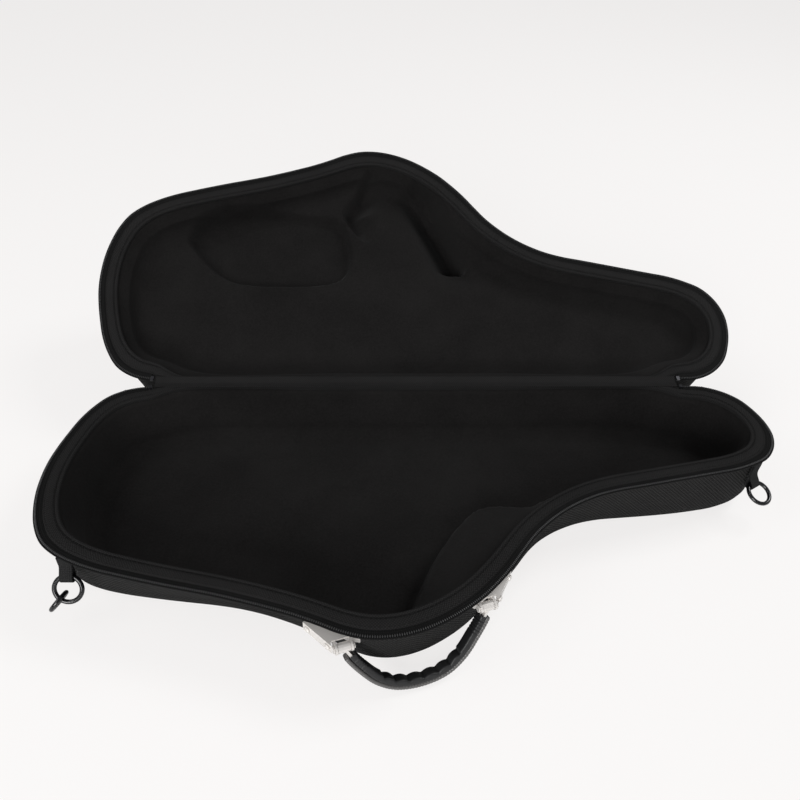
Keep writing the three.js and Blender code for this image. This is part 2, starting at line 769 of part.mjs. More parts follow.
// Distance from a place to the base's wall along a level direction
function reachToWall(place, direction) {
  const ring = baseHalf.wallRing(partingZ - place.z);
  const reaches = ring.map((from, i) => {
    const span = ring[(i + 1) % rimCount].clone().sub(from);
    const offset = from.clone().sub(place);
    const turn = direction.x * span.y - direction.y * span.x;
    const reach = (offset.x * span.y - offset.y * span.x) / turn;
    const way = (offset.x * direction.y - offset.y * direction.x) / turn;
    return way >= 0 && way <= 1 && reach > 0 ? reach : Infinity;
  });
  return Math.min(...reaches);
}

// Rivets near both ends of the front plate; the far one reaches into the shell
function rivetFrames(pivot) {
  const { near, far, along, inwards } = foldLine(pivot);
  const out = inwards.clone().negate();
  return [[far, rivetEdge], [near, -rivetEdge]].map(([end, step]) => {
    const place = end.clone().addScaledVector(along, step).addScaledVector(out, seatGap);
    place.z -= frontHeight / 2;
    const reach = end === far ? reachToWall(place, inwards) : bracketSheet + seatGap;
    return { place, out, reach };
  });
}

function rivet({ place, out, reach }) {
  const bite = reach + rivetBite;
  const profile = [vector(0, -bite, 0), vector(rivetShankRadius, -bite, 0),
    vector(rivetShankRadius, 0, 0), vector(rivetHeadRadius, 0, 0),
    vector(rivetHeadRadius, rivetHeadHeight * 0.4, 0),
    vector(rivetHeadRadius * 0.6, rivetHeadHeight, 0), vector(0, rivetHeadHeight, 0)];
  const geometry = new THREE.LatheGeometry(profile.map(alongPlan), roundSides);
  geometry.applyQuaternion(new THREE.Quaternion().setFromUnitVectors(vector(0, 1, 0), out));
  geometry.translate(place.x, place.y, place.z);
  return geometryOf(solidOf(geometry));
}

// Base shell with blind holes for the rivets' shanks
function baseShell() {
  let shell = solidOf(baseHalf.shell());
  for (const pivot of [leftPivot, rightPivot]) {
    const { place, out, reach } = rivetFrames(pivot)[0];
    const start = place.clone().addScaledVector(out, -reach - rivetBite - seatGap);
    shell = shell.subtract(solidOf(rod(rivetShankRadius + seatGap, reach, start, out)));
  }
  return geometryOf(shell);
}

function pin(pivot) {
  const half = earSpacing / 2 + earThickness + seatGap;
  const shank = rod(pinRadius, 2 * half + 2 * pinHeadHeight,
    pivot.clone().addScaledVector(swingAxis, -half - pinHeadHeight), swingAxis);
  let whole = solidOf(shank);
  for (const side of [-1, 1]) {
    const start = pivot.clone().addScaledVector(swingAxis, side * half);
    const direction = swingAxis.clone().multiplyScalar(side);
    whole = whole.add(solidOf(rod(pinHeadRadius, pinHeadHeight, start, direction)));
  }
  return geometryOf(whole);
}

// Ring of round wire in the plane of the placement's x and y axes
function wireRing(radius, matrix) {
  const geometry = new THREE.TorusGeometry(radius, ringWire, wireSides, loopSteps);
  return geometryOf(solidOf(geometry)).applyMatrix4(matrix);
}

// Rise of a ring's wire within the width of its tab, and the eye that leaves it room
const wireRise = (ringRadius - Math.sqrt(ringRadius ** 2 - (tabWidth / 2) ** 2)) / 2;
const eyeRadius = ringWire + wireRise + 2 * seatGap;

// Webbing tab: sewn in under the zip, hanging to a fold that holds the ring
function tabFrame({ share, turnDegrees, eyeHeight }) {
  const frame = wallFrame(share, seatDepth);
  const upright = vector(0, 0, 1);
  const angle = THREE.MathUtils.degToRad(turnDegrees);
  const out = vector(frame.out.x, frame.out.y, 0).normalize().applyAxisAngle(upright, angle);
  const along = vector(0, 0, 0).crossVectors(upright, out);
  const swing = Math.abs(Math.sin(angle)) * tabWidth / 2;
  const foldRadius = eyeRadius + webbingFold;
  const eye = wallFrame(share, partingZ - eyeHeight).place;
  const reach = Math.max(0, frame.place.clone().sub(eye).dot(out));
  eye.addScaledVector(out, reach + foldRadius + swing + 8 * seatGap);
  return { along, out, eye, foldRadius };
}

function webbingTab(tab) {
  const { along, eye, foldRadius } = tabFrame(tab);
  const length = baseHalf.height(rimGap + coilHeight + seatGap) - eye.z;
  const strap = new THREE.BoxGeometry(tabWidth, length, tabThickness);
  strap.translate(0, length / 2, tabThickness / 2 - foldRadius);
  strap.applyMatrix4(placement(along, vector(0, 0, 1), eye));
  const across = (half) => eye.clone().addScaledVector(along, -half);
  const fold = solidOf(rod(foldRadius, tabWidth, across(tabWidth / 2), along));
  const bore = solidOf(rod(eyeRadius, 2 * tabWidth, across(tabWidth), along));
  return geometryOf(solidOf(strap).add(fold).subtract(bore));
}

// Placement of a ring: the stiff webbing holds it leaning out from the tab's eye
function ringMatrix(tab) {
  const { along, out, eye } = tabFrame(tab);
  const lean = THREE.MathUtils.degToRad(tab.leanDegrees);
  const down = out.clone().multiplyScalar(Math.sin(lean)).add(vector(0, 0, -Math.cos(lean)));
  return placement(along, down, eye.addScaledVector(down, ringRadius - wireRise));
}

// Link that hangs from the wire of the left ring
function linkMatrix(tab) {
  const ring = ringMatrix(tab);
  const side = THREE.MathUtils.degToRad(linkTurnDegrees);
  const wire = vector(-Math.cos(side) * ringRadius, Math.sin(side) * ringRadius, 0);
  const place = wire.clone().applyMatrix4(ring);
  const along = vector(Math.sin(side), Math.cos(side), 0).transformDirection(ring);
  const out = vector(along.y, -along.x, 0).normalize();
  const up = vector(0, 0, 0).crossVectors(along, out).normalize();
  if (up.z < 0) up.negate();
  place.addScaledVector(up, 2 * ringWire + seatGap - linkRadius);
  return placement(out, up, place);
}

// Zip slider parked under the end of the base's zip; the arch holds the puller's bar
function sliderFrame(atRight) {
  const way = sliderEnd / freeLength;
  const frame = wallFrame(atRight ? 1 - way : way, seatDepth);
  const out = vector(frame.out.x, frame.out.y, 0).normalize();
  const top = baseHalf.height(rimGap + coilHeight + seatGap);
  const face = frame.place.clone().addScaledVector(out, wallInset + archWall);
  face.z = top - sliderHeight / 2;
  const bar = face.clone().addScaledVector(out, (archReach - archWall) / 2);
  return { along: frame.along, out, face, bar };
}

// Direction along the wall whose upright placement faces out from the wall
function facing(along, out) {
  const seat = vector(0, 0, 0).crossVectors(along, vector(0, 0, 1));
  return seat.dot(out) < 0 ? along.clone().negate() : along;
}

function slider(atRight) {
  const { along, out, face } = sliderFrame(atRight);
  const up = vector(0, 0, 1);
  const body = extruded(roundedRectangle(sliderLength, sliderHeight, pullerCorner), sliderThickness);
  body.translate(0, 0, -sliderThickness / 2);
  const arch = roundedRectangle(archHeight, archReach * 2, archWall);
  const hole = roundedRectangle(archHeight - 2 * archWall, 2 * (archReach - archWall), archWall / 2);
  arch.holes.push(hole);
  const loop = extruded(arch, archWidth);
  loop.rotateY(Math.PI / 2).rotateX(Math.PI / 2);
  const cap = solidOf(body).add(solidOf(loop));
  const whole = cap.subtract(solidOf(new THREE.BoxGeometry(sliderLength * 2, sliderHeight * 2,
    archReach * 4).translate(0, 0, -sliderThickness - archReach * 2)));
  return geometryOf(whole).applyMatrix4(placement(facing(along, out), up, face));
}

function puller(atRight) {
  const { along, out, bar } = sliderFrame(atRight);
  const shape = roundedRectangle(pullerWidth, pullerLength, pullerCorner);
  const shift = (pullerLength - pullerWindow) / 2 - pullerBar;
  const window = roundedRectangle(pullerWindow, pullerWindow, pullerBar / 4);
  const path = new THREE.Path(window.getPoints(1).map((p) => p.clone().setY(p.y + shift)));
  shape.holes.push(path);
  const tag = extruded(shape, pullerThickness);
  tag.translate(0, -(pullerLength - pullerBar) / 2, 0);
  return tag.applyMatrix4(placement(facing(along, out), vector(0, 0, 1), bar));
}

// Cloth roll along the hinge axis, which joins the two back edges
function hingeRoll() {
  const radius = hingeSetback + hingeInset - seatGap;
  const start = vector(hingeLeft.x + hingeEndMargin, axisY, partingZ);
  const length = hingeRight.x - hingeLeft.x - 2 * hingeEndMargin;
  return rod(radius, length, start, vector(1, 0, 0));
}

// Angle of the open lid above the table: the lid is laid back until it rests on the table
function openTilt() {
  const outside = lidHalf.tub(0).flat();
  const lowest = (tilt) => Math.min(...outside.map((point) => partingZ
    + (axisY - point.y) * Math.sin(tilt) - (point.z - partingZ) * Math.cos(tilt)));
  let [low, high] = [0, Math.PI / 2];
  for (let step = 0; step < freeSteps; step += 1) {
    const middle = (low + high) / 2;
    if (lowest(middle) < 0) low = middle;
    else high = middle;
  }
  return high;
}

const leftTab = {
  share: leftTabShare, turnDegrees: leftTabTurnDegrees,
  leanDegrees: leftLeanDegrees, eyeHeight: leftEyeHeight,
};
const rightTab = {
  share: rightTabShare, turnDegrees: rightTabTurnDegrees,
  leanDegrees: rightLeanDegrees, eyeHeight: rightEyeHeight,
};

const bag = new THREE.Group();
const lid = new THREE.Group();
const lidPivot = new THREE.Group();

function add(group, name, geometry, material) {
  const mesh = new THREE.Mesh(geometry, material);
  mesh.name = name;
  group.add(mesh);
}

// Base
add(bag, 'base_shell', baseShell(), wovenCloth);
add(bag, 'base_lining', baseLining(), liningCloth);
add(bag, 'base_rim_binding', baseHalf.binding(), bindingCloth);
add(bag, 'base_zip', baseHalf.zip(), zipPlastic);
add(bag, 'hinge_cloth', hingeRoll(), bindingCloth);
for (const [side, atRight] of [['left', false], ['right', true]]) {
  const pivot = atRight ? rightPivot : leftPivot;
  const tab = atRight ? rightTab : leftTab;
  add(bag, `${side}_handle_bracket`, bracket(pivot), brightSteel);
  rivetFrames(pivot).forEach((frame, i) => {
    add(bag, `${side}_bracket_rivet_${i + 1}`, rivet(frame), brightSteel);
  });
  add(bag, `${side}_handle_pin`, pin(pivot), brightSteel);
  add(bag, `${side}_webbing_tab`, webbingTab(tab), webbingCloth);
  add(bag, `${side}_strap_ring`, wireRing(ringRadius, ringMatrix(tab)), glossPlastic);
  add(bag, `${side}_zip_slider`, slider(atRight), darkSteel);
  add(bag, `${side}_zip_puller`, puller(atRight), darkSteel);
  add(bag, `${side}_base_zip_stop`, baseHalf.zipStop(atRight), darkSteel);
}
add(bag, 'left_ring_link', wireRing(linkRadius, linkMatrix(leftTab)), glossPlastic);

// Handle
const handle = new THREE.Group();
handle.applyMatrix4(handleMatrix);
add(handle, 'handle_grip', handleGrip(), gripRubber);
add(handle, 'handle_spine', handleSpine(), spineRubber);
add(handle, 'left_handle_tang', tang(-1), brightSteel);
add(handle, 'right_handle_tang', tang(1), brightSteel);
bag.add(handle);

// Lid, modelled closed and then laid back about the hinge axis
add(lid, 'lid_shell', lidHalf.shell(), wovenCloth);
add(lid, 'lid_lining', lidLining(), liningCloth);
add(lid, 'lid_rim_binding', lidHalf.binding(), bindingCloth);
add(lid, 'lid_zip', lidHalf.zip(), zipPlastic);
add(lid, 'left_lid_zip_stop', lidHalf.zipStop(false), darkSteel);
add(lid, 'right_lid_zip_stop', lidHalf.zipStop(true), darkSteel);
lid.position.set(0, -axisY, -partingZ);
lidPivot.position.set(0, axisY, partingZ);
lidPivot.rotation.x = -(Math.PI - openTilt());
lidPivot.add(lid);
bag.add(lidPivot);

export default bag;
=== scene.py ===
"""Shaped hard-shell bag, shown open and empty: the looks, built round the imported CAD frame."""

import logging
import math
from collections.abc import Callable
from dataclasses import dataclass
from enum import Enum

import bmesh
import bpy
import numpy as np
from mathutils import Matrix, Vector
from mathutils.geometry import delaunay_2d_cdt

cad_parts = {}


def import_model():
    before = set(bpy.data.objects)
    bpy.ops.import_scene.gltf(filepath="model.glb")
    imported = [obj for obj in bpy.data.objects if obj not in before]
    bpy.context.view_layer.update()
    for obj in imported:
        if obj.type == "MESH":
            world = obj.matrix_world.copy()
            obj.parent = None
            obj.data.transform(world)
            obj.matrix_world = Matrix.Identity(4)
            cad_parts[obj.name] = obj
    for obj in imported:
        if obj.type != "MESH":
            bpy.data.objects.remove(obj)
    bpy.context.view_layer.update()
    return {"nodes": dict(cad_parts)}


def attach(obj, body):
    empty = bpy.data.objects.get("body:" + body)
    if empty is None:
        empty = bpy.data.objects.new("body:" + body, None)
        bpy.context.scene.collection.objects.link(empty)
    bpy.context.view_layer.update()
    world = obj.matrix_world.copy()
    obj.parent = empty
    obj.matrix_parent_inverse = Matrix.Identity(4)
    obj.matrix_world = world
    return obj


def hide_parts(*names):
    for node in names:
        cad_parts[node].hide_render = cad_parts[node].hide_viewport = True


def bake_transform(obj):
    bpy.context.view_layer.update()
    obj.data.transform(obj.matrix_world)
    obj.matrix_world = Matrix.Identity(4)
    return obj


LOG = logging.getLogger("bag")
MM = 0.001
UNMOVED = Matrix.Identity(4)
UP = np.array([0.0, 0.0, 1.0])


class Slot(Enum):
    """Material slots of the record."""

    WOVEN = "woven_cloth"
    BINDING = "binding_cloth"
    LINING = "lining_cloth"
    ZIP = "zip_plastic"
    GRIP = "grip_rubber"
    SPINE = "spine_rubber"
    WEBBING = "webbing_cloth"
    GLOSS = "gloss_plastic"
    BRIGHT = "bright_steel"
    DARK = "dark_steel"


@dataclass(frozen=True)
class BagSizes:
    """Sizes of the bag that the CAD has too, in millimetres, and the steps of its rim line."""

    length: float = 644
    width: float = 282
    base_depth: float = 66
    lid_depth: float = 89
    seat_gap: float = 0.3
    rim_gap: float = 0.4
    coil_width: float = 4
    coil_height: float = 2.6
    tape_reveal: float = 3
    tape_thickness: float = 1
    binding_width: float = 12
    binding_height: float = 3.6
    hinge_binding_width: float = 4
    hinge_inset: float = 0.2
    corner_run: float = 24
    shell_wall: float = 2.6
    edge_radius: float = 22
    hinge_draft: float = math.radians(6)
    hinge_setback: float = 3
    hinge_end_margin: float = 6
    lining_wall: float = 2.5
    free_steps: int = 56
    hinge_steps: int = 3
    inset_steps: int = 6

    @property
    def hinge_y(self) -> float:
        """Y of the straight back edge."""
        return self.width / 2

    @property
    def axis(self) -> tuple[float, float, float]:
        """A point of the lid's hinge axis."""
        return (0, self.hinge_y + self.hinge_setback, self.parting_z)

    @property
    def parting_z(self) -> float:
        """Height of the plane where the two closed rims meet."""
        return self.base_depth + self.rim_gap

    @property
    def seat_depth(self) -> float:
        """Depth of the shells' mouths below the parting plane."""
        return self.rim_gap + self.binding_height + self.seat_gap

    @property
    def wall_inset(self) -> float:
        """Inset of the outer wall's top from the zip line."""
        return self.coil_width + self.tape_reveal + self.seat_gap

    @property
    def crease_inset(self) -> float:
        """Inset of the lining's mouth from the zip line."""
        return self.coil_width + self.tape_reveal + self.binding_width + self.seat_gap

    @property
    def hinge_crease_inset(self) -> float:
        """Inset of the lining's mouth on the hinge side."""
        return self.hinge_inset + self.hinge_binding_width + self.seat_gap


BAG = BagSizes()

# Rim outline as shares of length and width, and how far the wall's foot lies inside it
OUTLINE_SHARES = (
    (0.0964, 0, 0.02), (0.0547, 0.03, 0.035), (0.0258, 0.118, 0.045), (0.0084, 0.25, 0.05),
    (0, 0.397, 0.052), (0.0084, 0.557, 0.048), (0.0338, 0.683, 0.045), (0.0805, 0.757, 0.057),
    (0.163, 0.818, 0.078), (0.2564, 0.872, 0.097), (0.3399, 0.934, 0.085), (0.3916, 0.985, 0.066),
    (0.4273, 1, 0.057), (0.482, 0.974, 0.05), (0.5416, 0.892, 0.048), (0.5863, 0.787, 0.045),
    (0.6211, 0.683, 0.042), (0.6658, 0.593, 0.06), (0.7205, 0.529, 0.06), (0.792, 0.491, 0.039),
    (0.8654, 0.455, 0.022), (0.9303, 0.42, 0.018), (0.9752, 0.365, 0.026), (0.998, 0.27, 0.028),
    (0.997, 0.165, 0.026), (0.9766, 0.06, 0.024), (0.9407, 0.008, 0.02), (0.9043, 0, 0.02),
)


def plan(shares: tuple[float, ...]) -> np.ndarray:
    """Turn plan shares into a point.

    Args:
        shares: Share of the length, share of the width and, where given, a third share.

    Returns:
        The point in millimetres, with the third share of the width as its third coordinate.
    """
    third = shares[2] if len(shares) > 2 else 0
    return np.array([(shares[0] - 0.5) * BAG.length, BAG.hinge_y - shares[1] * BAG.width,
                     third * BAG.width])


def catmull(p0: np.ndarray, p1: np.ndarray, p2: np.ndarray, p3: np.ndarray,
            at: np.ndarray) -> np.ndarray:
    """Centripetal spline between the second and third of four knots.

    Args:
        p0: Knot before.
        p1: Knot at the start.
        p2: Knot at the end.
        p3: Knot after.
        at: Shares of the way, a flat array.

    Returns:
        Points, one row for each share.
    """
    no_gap = 1e-2
    gaps = [np.linalg.norm(b - a) ** 0.5 for a, b in ((p0, p1), (p1, p2), (p2, p3))]
    before, here, after = (gap if gap > no_gap else gaps[1] for gap in gaps)
    start = ((p1 - p0) / before - (p2 - p0) / (before + here) + (p2 - p1) / here) * here
    end = ((p2 - p1) / here - (p3 - p1) / (here + after) + (p3 - p2) / after) * here
    t = at[:, None]
    return (p1 + start * t + (3 * (p2 - p1) - 2 * start - end) * t ** 2
            + (2 * (p1 - p2) + start + end) * t ** 3)


def spline(knots: np.ndarray, closed: bool = False, steps: int = 40) -> np.ndarray:
    """Dense points of the centripetal spline through knots.

    Args:
        knots: One row for each knot.
        closed: Whether the spline runs on from the last knot to the first.
        steps: Points for each stretch between two knots.

    Returns:
        Points, one row each; an open spline has its last knot too.
    """
    count = len(knots)
    at = np.arange(steps) / steps
    parts = []
    for i in range(count if closed else count - 1):
        before, after = knots[i - 1], knots[(i + 2) % count]
        if not closed and i == 0:
            before = 2 * knots[0] - knots[1]
        if not closed and i + 2 == count:
            after = 2 * knots[-1] - knots[-2]
        parts.append(catmull(before, knots[i], knots[(i + 1) % count], after, at))
    if not closed:
        parts.append(knots[-1:])
    return np.vstack(parts)


def plan_line(shares: tuple, closed: bool = False, steps: int = 12) -> np.ndarray:
    """Smooth plan line through plan shares."""
    return spline(np.array([plan(share) for share in shares]), closed, steps)[:, :2]


def spaced(line: np.ndarray, shares: np.ndarray) -> np.ndarray:
    """Points of a dense open line at shares of its length."""
    run = np.concatenate([[0], np.cumsum(np.linalg.norm(np.diff(line, axis=0), axis=1))])
    return np.stack([np.interp(shares * run[-1], run, line[:, k]) for k in range(line.shape[1])], 1)


def line_length(line: np.ndarray) -> float:
    """Length of an open line of points."""
    return float(np.linalg.norm(np.diff(line, axis=0), axis=1).sum())


def headings(line: np.ndarray) -> np.ndarray:
    """Directions of length one along an open line."""
    along = np.gradient(line, axis=0)
    return along / np.linalg.norm(along, axis=1)[:, None]


def unit(v: np.ndarray) -> np.ndarray:
    """Vector of length one along v."""
    v = np.asarray(v, float)
    return v / np.linalg.norm(v)


def placed(*columns: np.ndarray) -> Matrix:
    """Placement with three axes and an origin as its columns."""
    return Matrix([*np.column_stack(columns).tolist(), (0, 0, 0, 1)])


def smooth(low: float, high: float, x: np.ndarray) -> np.ndarray:
    """Smooth step from 0 at low to 1 at high."""
    t = np.clip((x - low) / (high - low), 0, 1)
    return t * t * (3 - 2 * t)


def ripple(points: np.ndarray, wave: float, seed: float) -> np.ndarray:
    """Slow unevenness of soft material.

    Args:
        points: Places in millimetres, in plan or in space.
        wave: Rough length of a wave in millimetres.
        seed: Shifts the waves.

    Returns:
        One value for each point, about -1 to 1.
    """
    turns = points * 2 * math.pi / wave
    x, y = turns[:, 0], turns[:, 1]
    z = turns[:, 2] if turns.shape[1] > 2 else 0
    return (np.sin(x + 1.7 * y + seed) + np.sin(1.3 * y - 0.8 * x + 2.1 * seed + z)
            + np.sin(0.7 * x + 0.9 * z - 1.1 * y + 3.3 * seed)) / 3


def rounded(low: float, high: float, half: float, radius: float, steps: int) -> list[tuple]:
    """Corners of a rounded rectangle.

    Args:
        low: Its lower side.
        high: Its upper side.
        half: Half its width.
        radius: Radius of its corners.
        steps: Points on each corner.

    Returns:
        Its corners, from the upper right one round.
    """
    corners = []
    for cx, cy, start in ((high - radius, half - radius, 0), (low + radius, half - radius, 90),
                          (low + radius, radius - half, 180), (high - radius, radius - half, 270)):
        for turn in np.linspace(start, start + 90, steps):
            a = math.radians(turn)
            corners.append((cx + radius * math.cos(a), cy + radius * math.sin(a)))
    return corners


def within(ring: np.ndarray, points: np.ndarray) -> np.ndarray:
    """Tell how far plan points lie inside a ring.

    Args:
        ring: Closed ring of plan points.
        points: Plan points.

    Returns:
        Distance of each point from the ring, below zero outside it.
    """
    batch, tiny = 2000, 1e-9
    a, b = ring, np.roll(ring, -1, axis=0)
    span = b - a
    square = np.maximum((span ** 2).sum(axis=1), tiny)
    rise = np.where(span[:, 1] == 0, tiny, span[:, 1])
    parts = []
    for start in range(0, len(points), batch):
        p = points[start:start + batch][:, None, :]
        t = np.clip(((p - a) * span).sum(axis=2) / square, 0, 1)
        gap = np.linalg.norm(p - a - t[..., None] * span, axis=2).min(axis=1)
        crosses = (a[:, 1] > p[..., 1]) != (b[:, 1] > p[..., 1])
        x = a[:, 0] + (p[..., 1] - a[:, 1]) * span[:, 0] / rise
        inside = (crosses & (p[..., 0] < x)).sum(axis=1) % 2 == 1
        parts.append(np.where(inside, gap, -gap))
    return np.concatenate(parts)


def grid_inside(ring: np.ndarray, spacing: float) -> np.ndarray:
    """Spread even plan points inside a ring, clear of it by about half their spacing.

    Args:
        ring: Closed ring of plan points.
        spacing: Distance between the points, in millimetres.

    Returns:
        The points, one row each.
    """
    low, high = ring.min(axis=0), ring.max(axis=0)
    rise = spacing * math.sqrt(3) / 2
    clear_share = 0.55
    rows = []
    for k, y in enumerate(np.arange(low[1] + rise, high[1], rise)):
        x = np.arange(low[0] + (spacing / 2 if k % 2 else 0), high[0], spacing)
        rows.append(np.stack([x, np.full(len(x), y)], 1))
    points = np.vstack(rows)
    return points[within(ring, points) > spacing * clear_share]


class RimLine:
    """Line of the zip round one half, on which all rings are based."""

    FREE_COLUMNS, CORNER_COLUMNS, HINGE_COLUMNS = 5, 6, 12
    EASE_SHARE, EASE_LIMIT = 0.6, 0.5

    def __init__(self) -> None:
        """Space the free edge evenly and close it by the straight hinge edge."""
        knots = np.array([plan(shares) for shares in OUTLINE_SHARES])
        free = spaced(spline(knots), np.linspace(0, 1, BAG.free_steps + 1))
        self.left, self.right = knots[0] * (1, 1, 0), knots[-1] * (1, 1, 0)
        along = unit(self.left - self.right) * BAG.corner_run
        shares = np.linspace(0, 1, BAG.hinge_steps + 1)[:, None]
        first, last = self.right + along, self.left - along
        ring = np.vstack([free, first + (last - first) * shares])
        self.points, self.feet = ring[:, :2].copy(), ring[:, 2].copy()
        self.is_free = np.arange(len(ring)) <= BAG.free_steps
        self.spans = self.spans_of(self.points)
        self.free_columns = BAG.free_steps * self.FREE_COLUMNS + 1

    @staticmethod
    def spans_of(line: np.ndarray) -> np.ndarray:
        """Distance between the two neighbours of each point of a closed line."""
        return np.linalg.norm(np.roll(line, -1, axis=0) - np.roll(line, 1, axis=0), axis=1)

    def inwards(self, distances: np.ndarray) -> np.ndarray:
        """Draw the line inwards, easing it as it goes.

        Args:
            distances: Reach for each point, in millimetres.

        Returns:
            Plan points, one row each.
        """
        line = self.points.copy()
        reach = distances / BAG.inset_steps
        for _ in range(BAG.inset_steps):
            before, after = np.roll(line, 1, axis=0), np.roll(line, -1, axis=0)
            along = after - before
            along /= np.linalg.norm(along, axis=1)[:, None]
            shortened = 1 - self.spans_of(line) / self.spans
            ease = np.minimum(self.EASE_LIMIT, reach / BAG.edge_radius) * self.EASE_SHARE
            ease = np.maximum(ease, np.minimum(1, shortened))
            line = line + ((before + after) / 2 - line) * ease[:, None]
            line = line + np.stack([-along[:, 1], along[:, 0]], 1) * reach[:, None]
        return line

    def refined(self, ring: np.ndarray) -> np.ndarray:
        """Smooth closed ring through the coarse one, with the same columns for every ring.

        Args:
            ring: Coarse ring, one row for each rim point.

        Returns:
            Fine ring.
        """
        count = len(ring)
        parts = []
        for i in range(count):
            at = np.arange(self.steps_of(i)) / self.steps_of(i)
            parts.append(catmull(ring[i - 1], ring[i], ring[(i + 1) % count],
                                 ring[(i + 2) % count], at))
        return np.vstack(parts)

    def steps_of(self, i: int) -> int:
        """Fine columns of one stretch of the rim.

        Args:
            i: Number of the coarse point at which the stretch starts.

        Returns:
            How many columns it gets.
        """
        if i < BAG.free_steps:
            return self.FREE_COLUMNS
        on_hinge = BAG.free_steps < i < BAG.free_steps + 1 + BAG.hinge_steps
        return self.HINGE_COLUMNS if on_hinge else self.CORNER_COLUMNS


RIM = RimLine()


class Skin:
    """Points, faces and cloth coordinates of one mesh while it is put together."""

    def __init__(self) -> None:
        """Start an empty skin."""
        self.points: list[np.ndarray] = []
        self.count = 0
        self.faces: list[tuple] = []
        self.cloth: list[tuple] = []

    def add_points(self, points: np.ndarray) -> int:
        """Add points.

        Args:
            points: One row each, in millimetres.

        Returns:
            Number of the first one.
        """
        self.points.append(np.asarray(points, float))
        self.count += len(points)
        return self.count - len(points)

    def rows(self, rows: np.ndarray, closed: bool = True, wraps: bool = False) -> int:
        """Add a grid of rows of equal length.

        Args:
            rows: Array of rows, columns and three coordinates.
            closed: Whether the last column joins the first.
            wraps: Whether the last row joins the first.

        Returns:
            Number of the first point.
        """
        height, width = rows.shape[:2]
        first = self.add_points(rows.reshape(-1, 3))
        middle = rows[height // 2]
        around = np.linalg.norm(np.diff(np.vstack([middle, middle[:1]]), axis=0), axis=1)
        down = np.linalg.norm(np.diff(np.concatenate([rows, rows[:1]]), axis=0), axis=2).mean(axis=1)
        u, v = (np.concatenate([[0], np.cumsum(steps)]) for steps in (around, down))
        for r in range(height if wraps else height - 1):
            this, low = first + r * width, first + (r + 1) % height * width
            for c in range(width if closed else width - 1):
                right = (c + 1) % width
                self.faces.append((this + c, this + right, low + right, low + c))
                self.cloth.append(((u[c], v[r]), (u[c + 1], v[r]), (u[c + 1], v[r + 1]),
                                   (u[c], v[r + 1])))
        return first

    def bar(self, rows: np.ndarray) -> None:
        """Add a bar of rows that wrap round it, closed at both of its ends.

        Args:
            rows: Array of section corners, places along the bar and three coordinates.
        """
        height, width = rows.shape[:2]
        first = self.rows(rows, closed=False, wraps=True)
        for column in (0, width - 1):
            self.faces.append(tuple(first + r * width + column for r in range(height)))
            self.cloth.append(((0.0, 0.0),) * height)

    def cap(self, ring: np.ndarray, first: int, spacing: float,
            height: Callable[[np.ndarray], np.ndarray] | None = None) -> None:
        """Fill a closed ring with even triangles.

        Args:
            ring: Points of the ring, already in the mesh.
            first: Number of the ring's first point.
            spacing: Distance between the points inside, in millimetres.
            height: Function that gives the Z of plan points, or None for the ring's own.
        """
        flat = ring[:, :2]
        level = ring[:, 2].mean()
        places = [Vector(p) for p in np.vstack([flat, grid_inside(flat, spacing)])]
        border = [(i, (i + 1) % len(flat)) for i in range(len(flat))]
        out, _, faces, origins, _, _ = delaunay_2d_cdt(places, border, [], 1, 1e-4)
        known, fresh = {}, []
        for k, place in enumerate(out):
            ids = [i for i in origins[k] if i < len(flat)]
            known[k] = first + ids[0] if ids else self.count + len(fresh)
            if not ids:
                fresh.append((place.x, place.y, level))
        fresh = np.array(fresh).reshape(-1, 3)
        if height is not None:
            fresh[:, 2] = height(fresh[:, :2])
        self.add_points(fresh)
        for face in faces:
            self.faces.append(tuple(known[k] for k in face))
            self.cloth.append(tuple((out[k].x, out[k].y) for k in face))


def linked(name: str, data: bpy.types.ID) -> bpy.types.Object:
    """Put data into the scene.

    Args:
        name: Name of the new object.
        data: Its mesh, light or camera.

    Returns:
        The object.
    """
    item = bpy.data.objects.new(name, data)
    bpy.context.collection.objects.link(item)
    return item


def as_object(name: str, skin: Skin, material: bpy.types.Material, place: Matrix = UNMOVED,
              sharp: float = 45) -> bpy.types.Object:
    """Turn a skin into an object that faces outwards.

    Args:
        name: Name of the piece.
        skin: Its points and faces, in millimetres.
        material: Its material.
        place: Placement of the points, in millimetres.
        sharp: Angle in degrees above which an edge stays sharp.

    Returns:
        The object, linked to the scene.
    """
    turn = np.array(place)
    points = (np.vstack(skin.points) @ turn[:3, :3].T + turn[:3, 3]) * MM
    mesh = bpy.data.meshes.new(name)
    mesh.from_pydata(points.tolist(), [], skin.faces)
    layer = mesh.uv_layers.new(name="cloth")
    flat = np.array([corner for face in skin.cloth for corner in face], float)
    layer.data.foreach_set("uv", flat.ravel())
    work = bmesh.new()
    work.from_mesh(mesh)
    bmesh.ops.recalc_face_normals(work, faces=work.faces)
    work.to_mesh(mesh)
    work.free()
    mesh.shade_smooth()
    mesh.set_sharp_from_angle(angle=math.radians(sharp))
    mesh.materials.append(material)
    return linked(name, mesh)


def settle(item: bpy.types.Object, slot: Slot, body: str, *nodes: str) -> None:
    """Args:
        item: The finished piece.
        slot: Its material slot; not used.
        body: The CAD body that it moves with.
        nodes: CAD nodes that it stands for.
    """
    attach(item, body)
    if nodes:
        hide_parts(*nodes)
    LOG.info("%s: %d faces on %s", item.name, len(item.data.polygons), body)


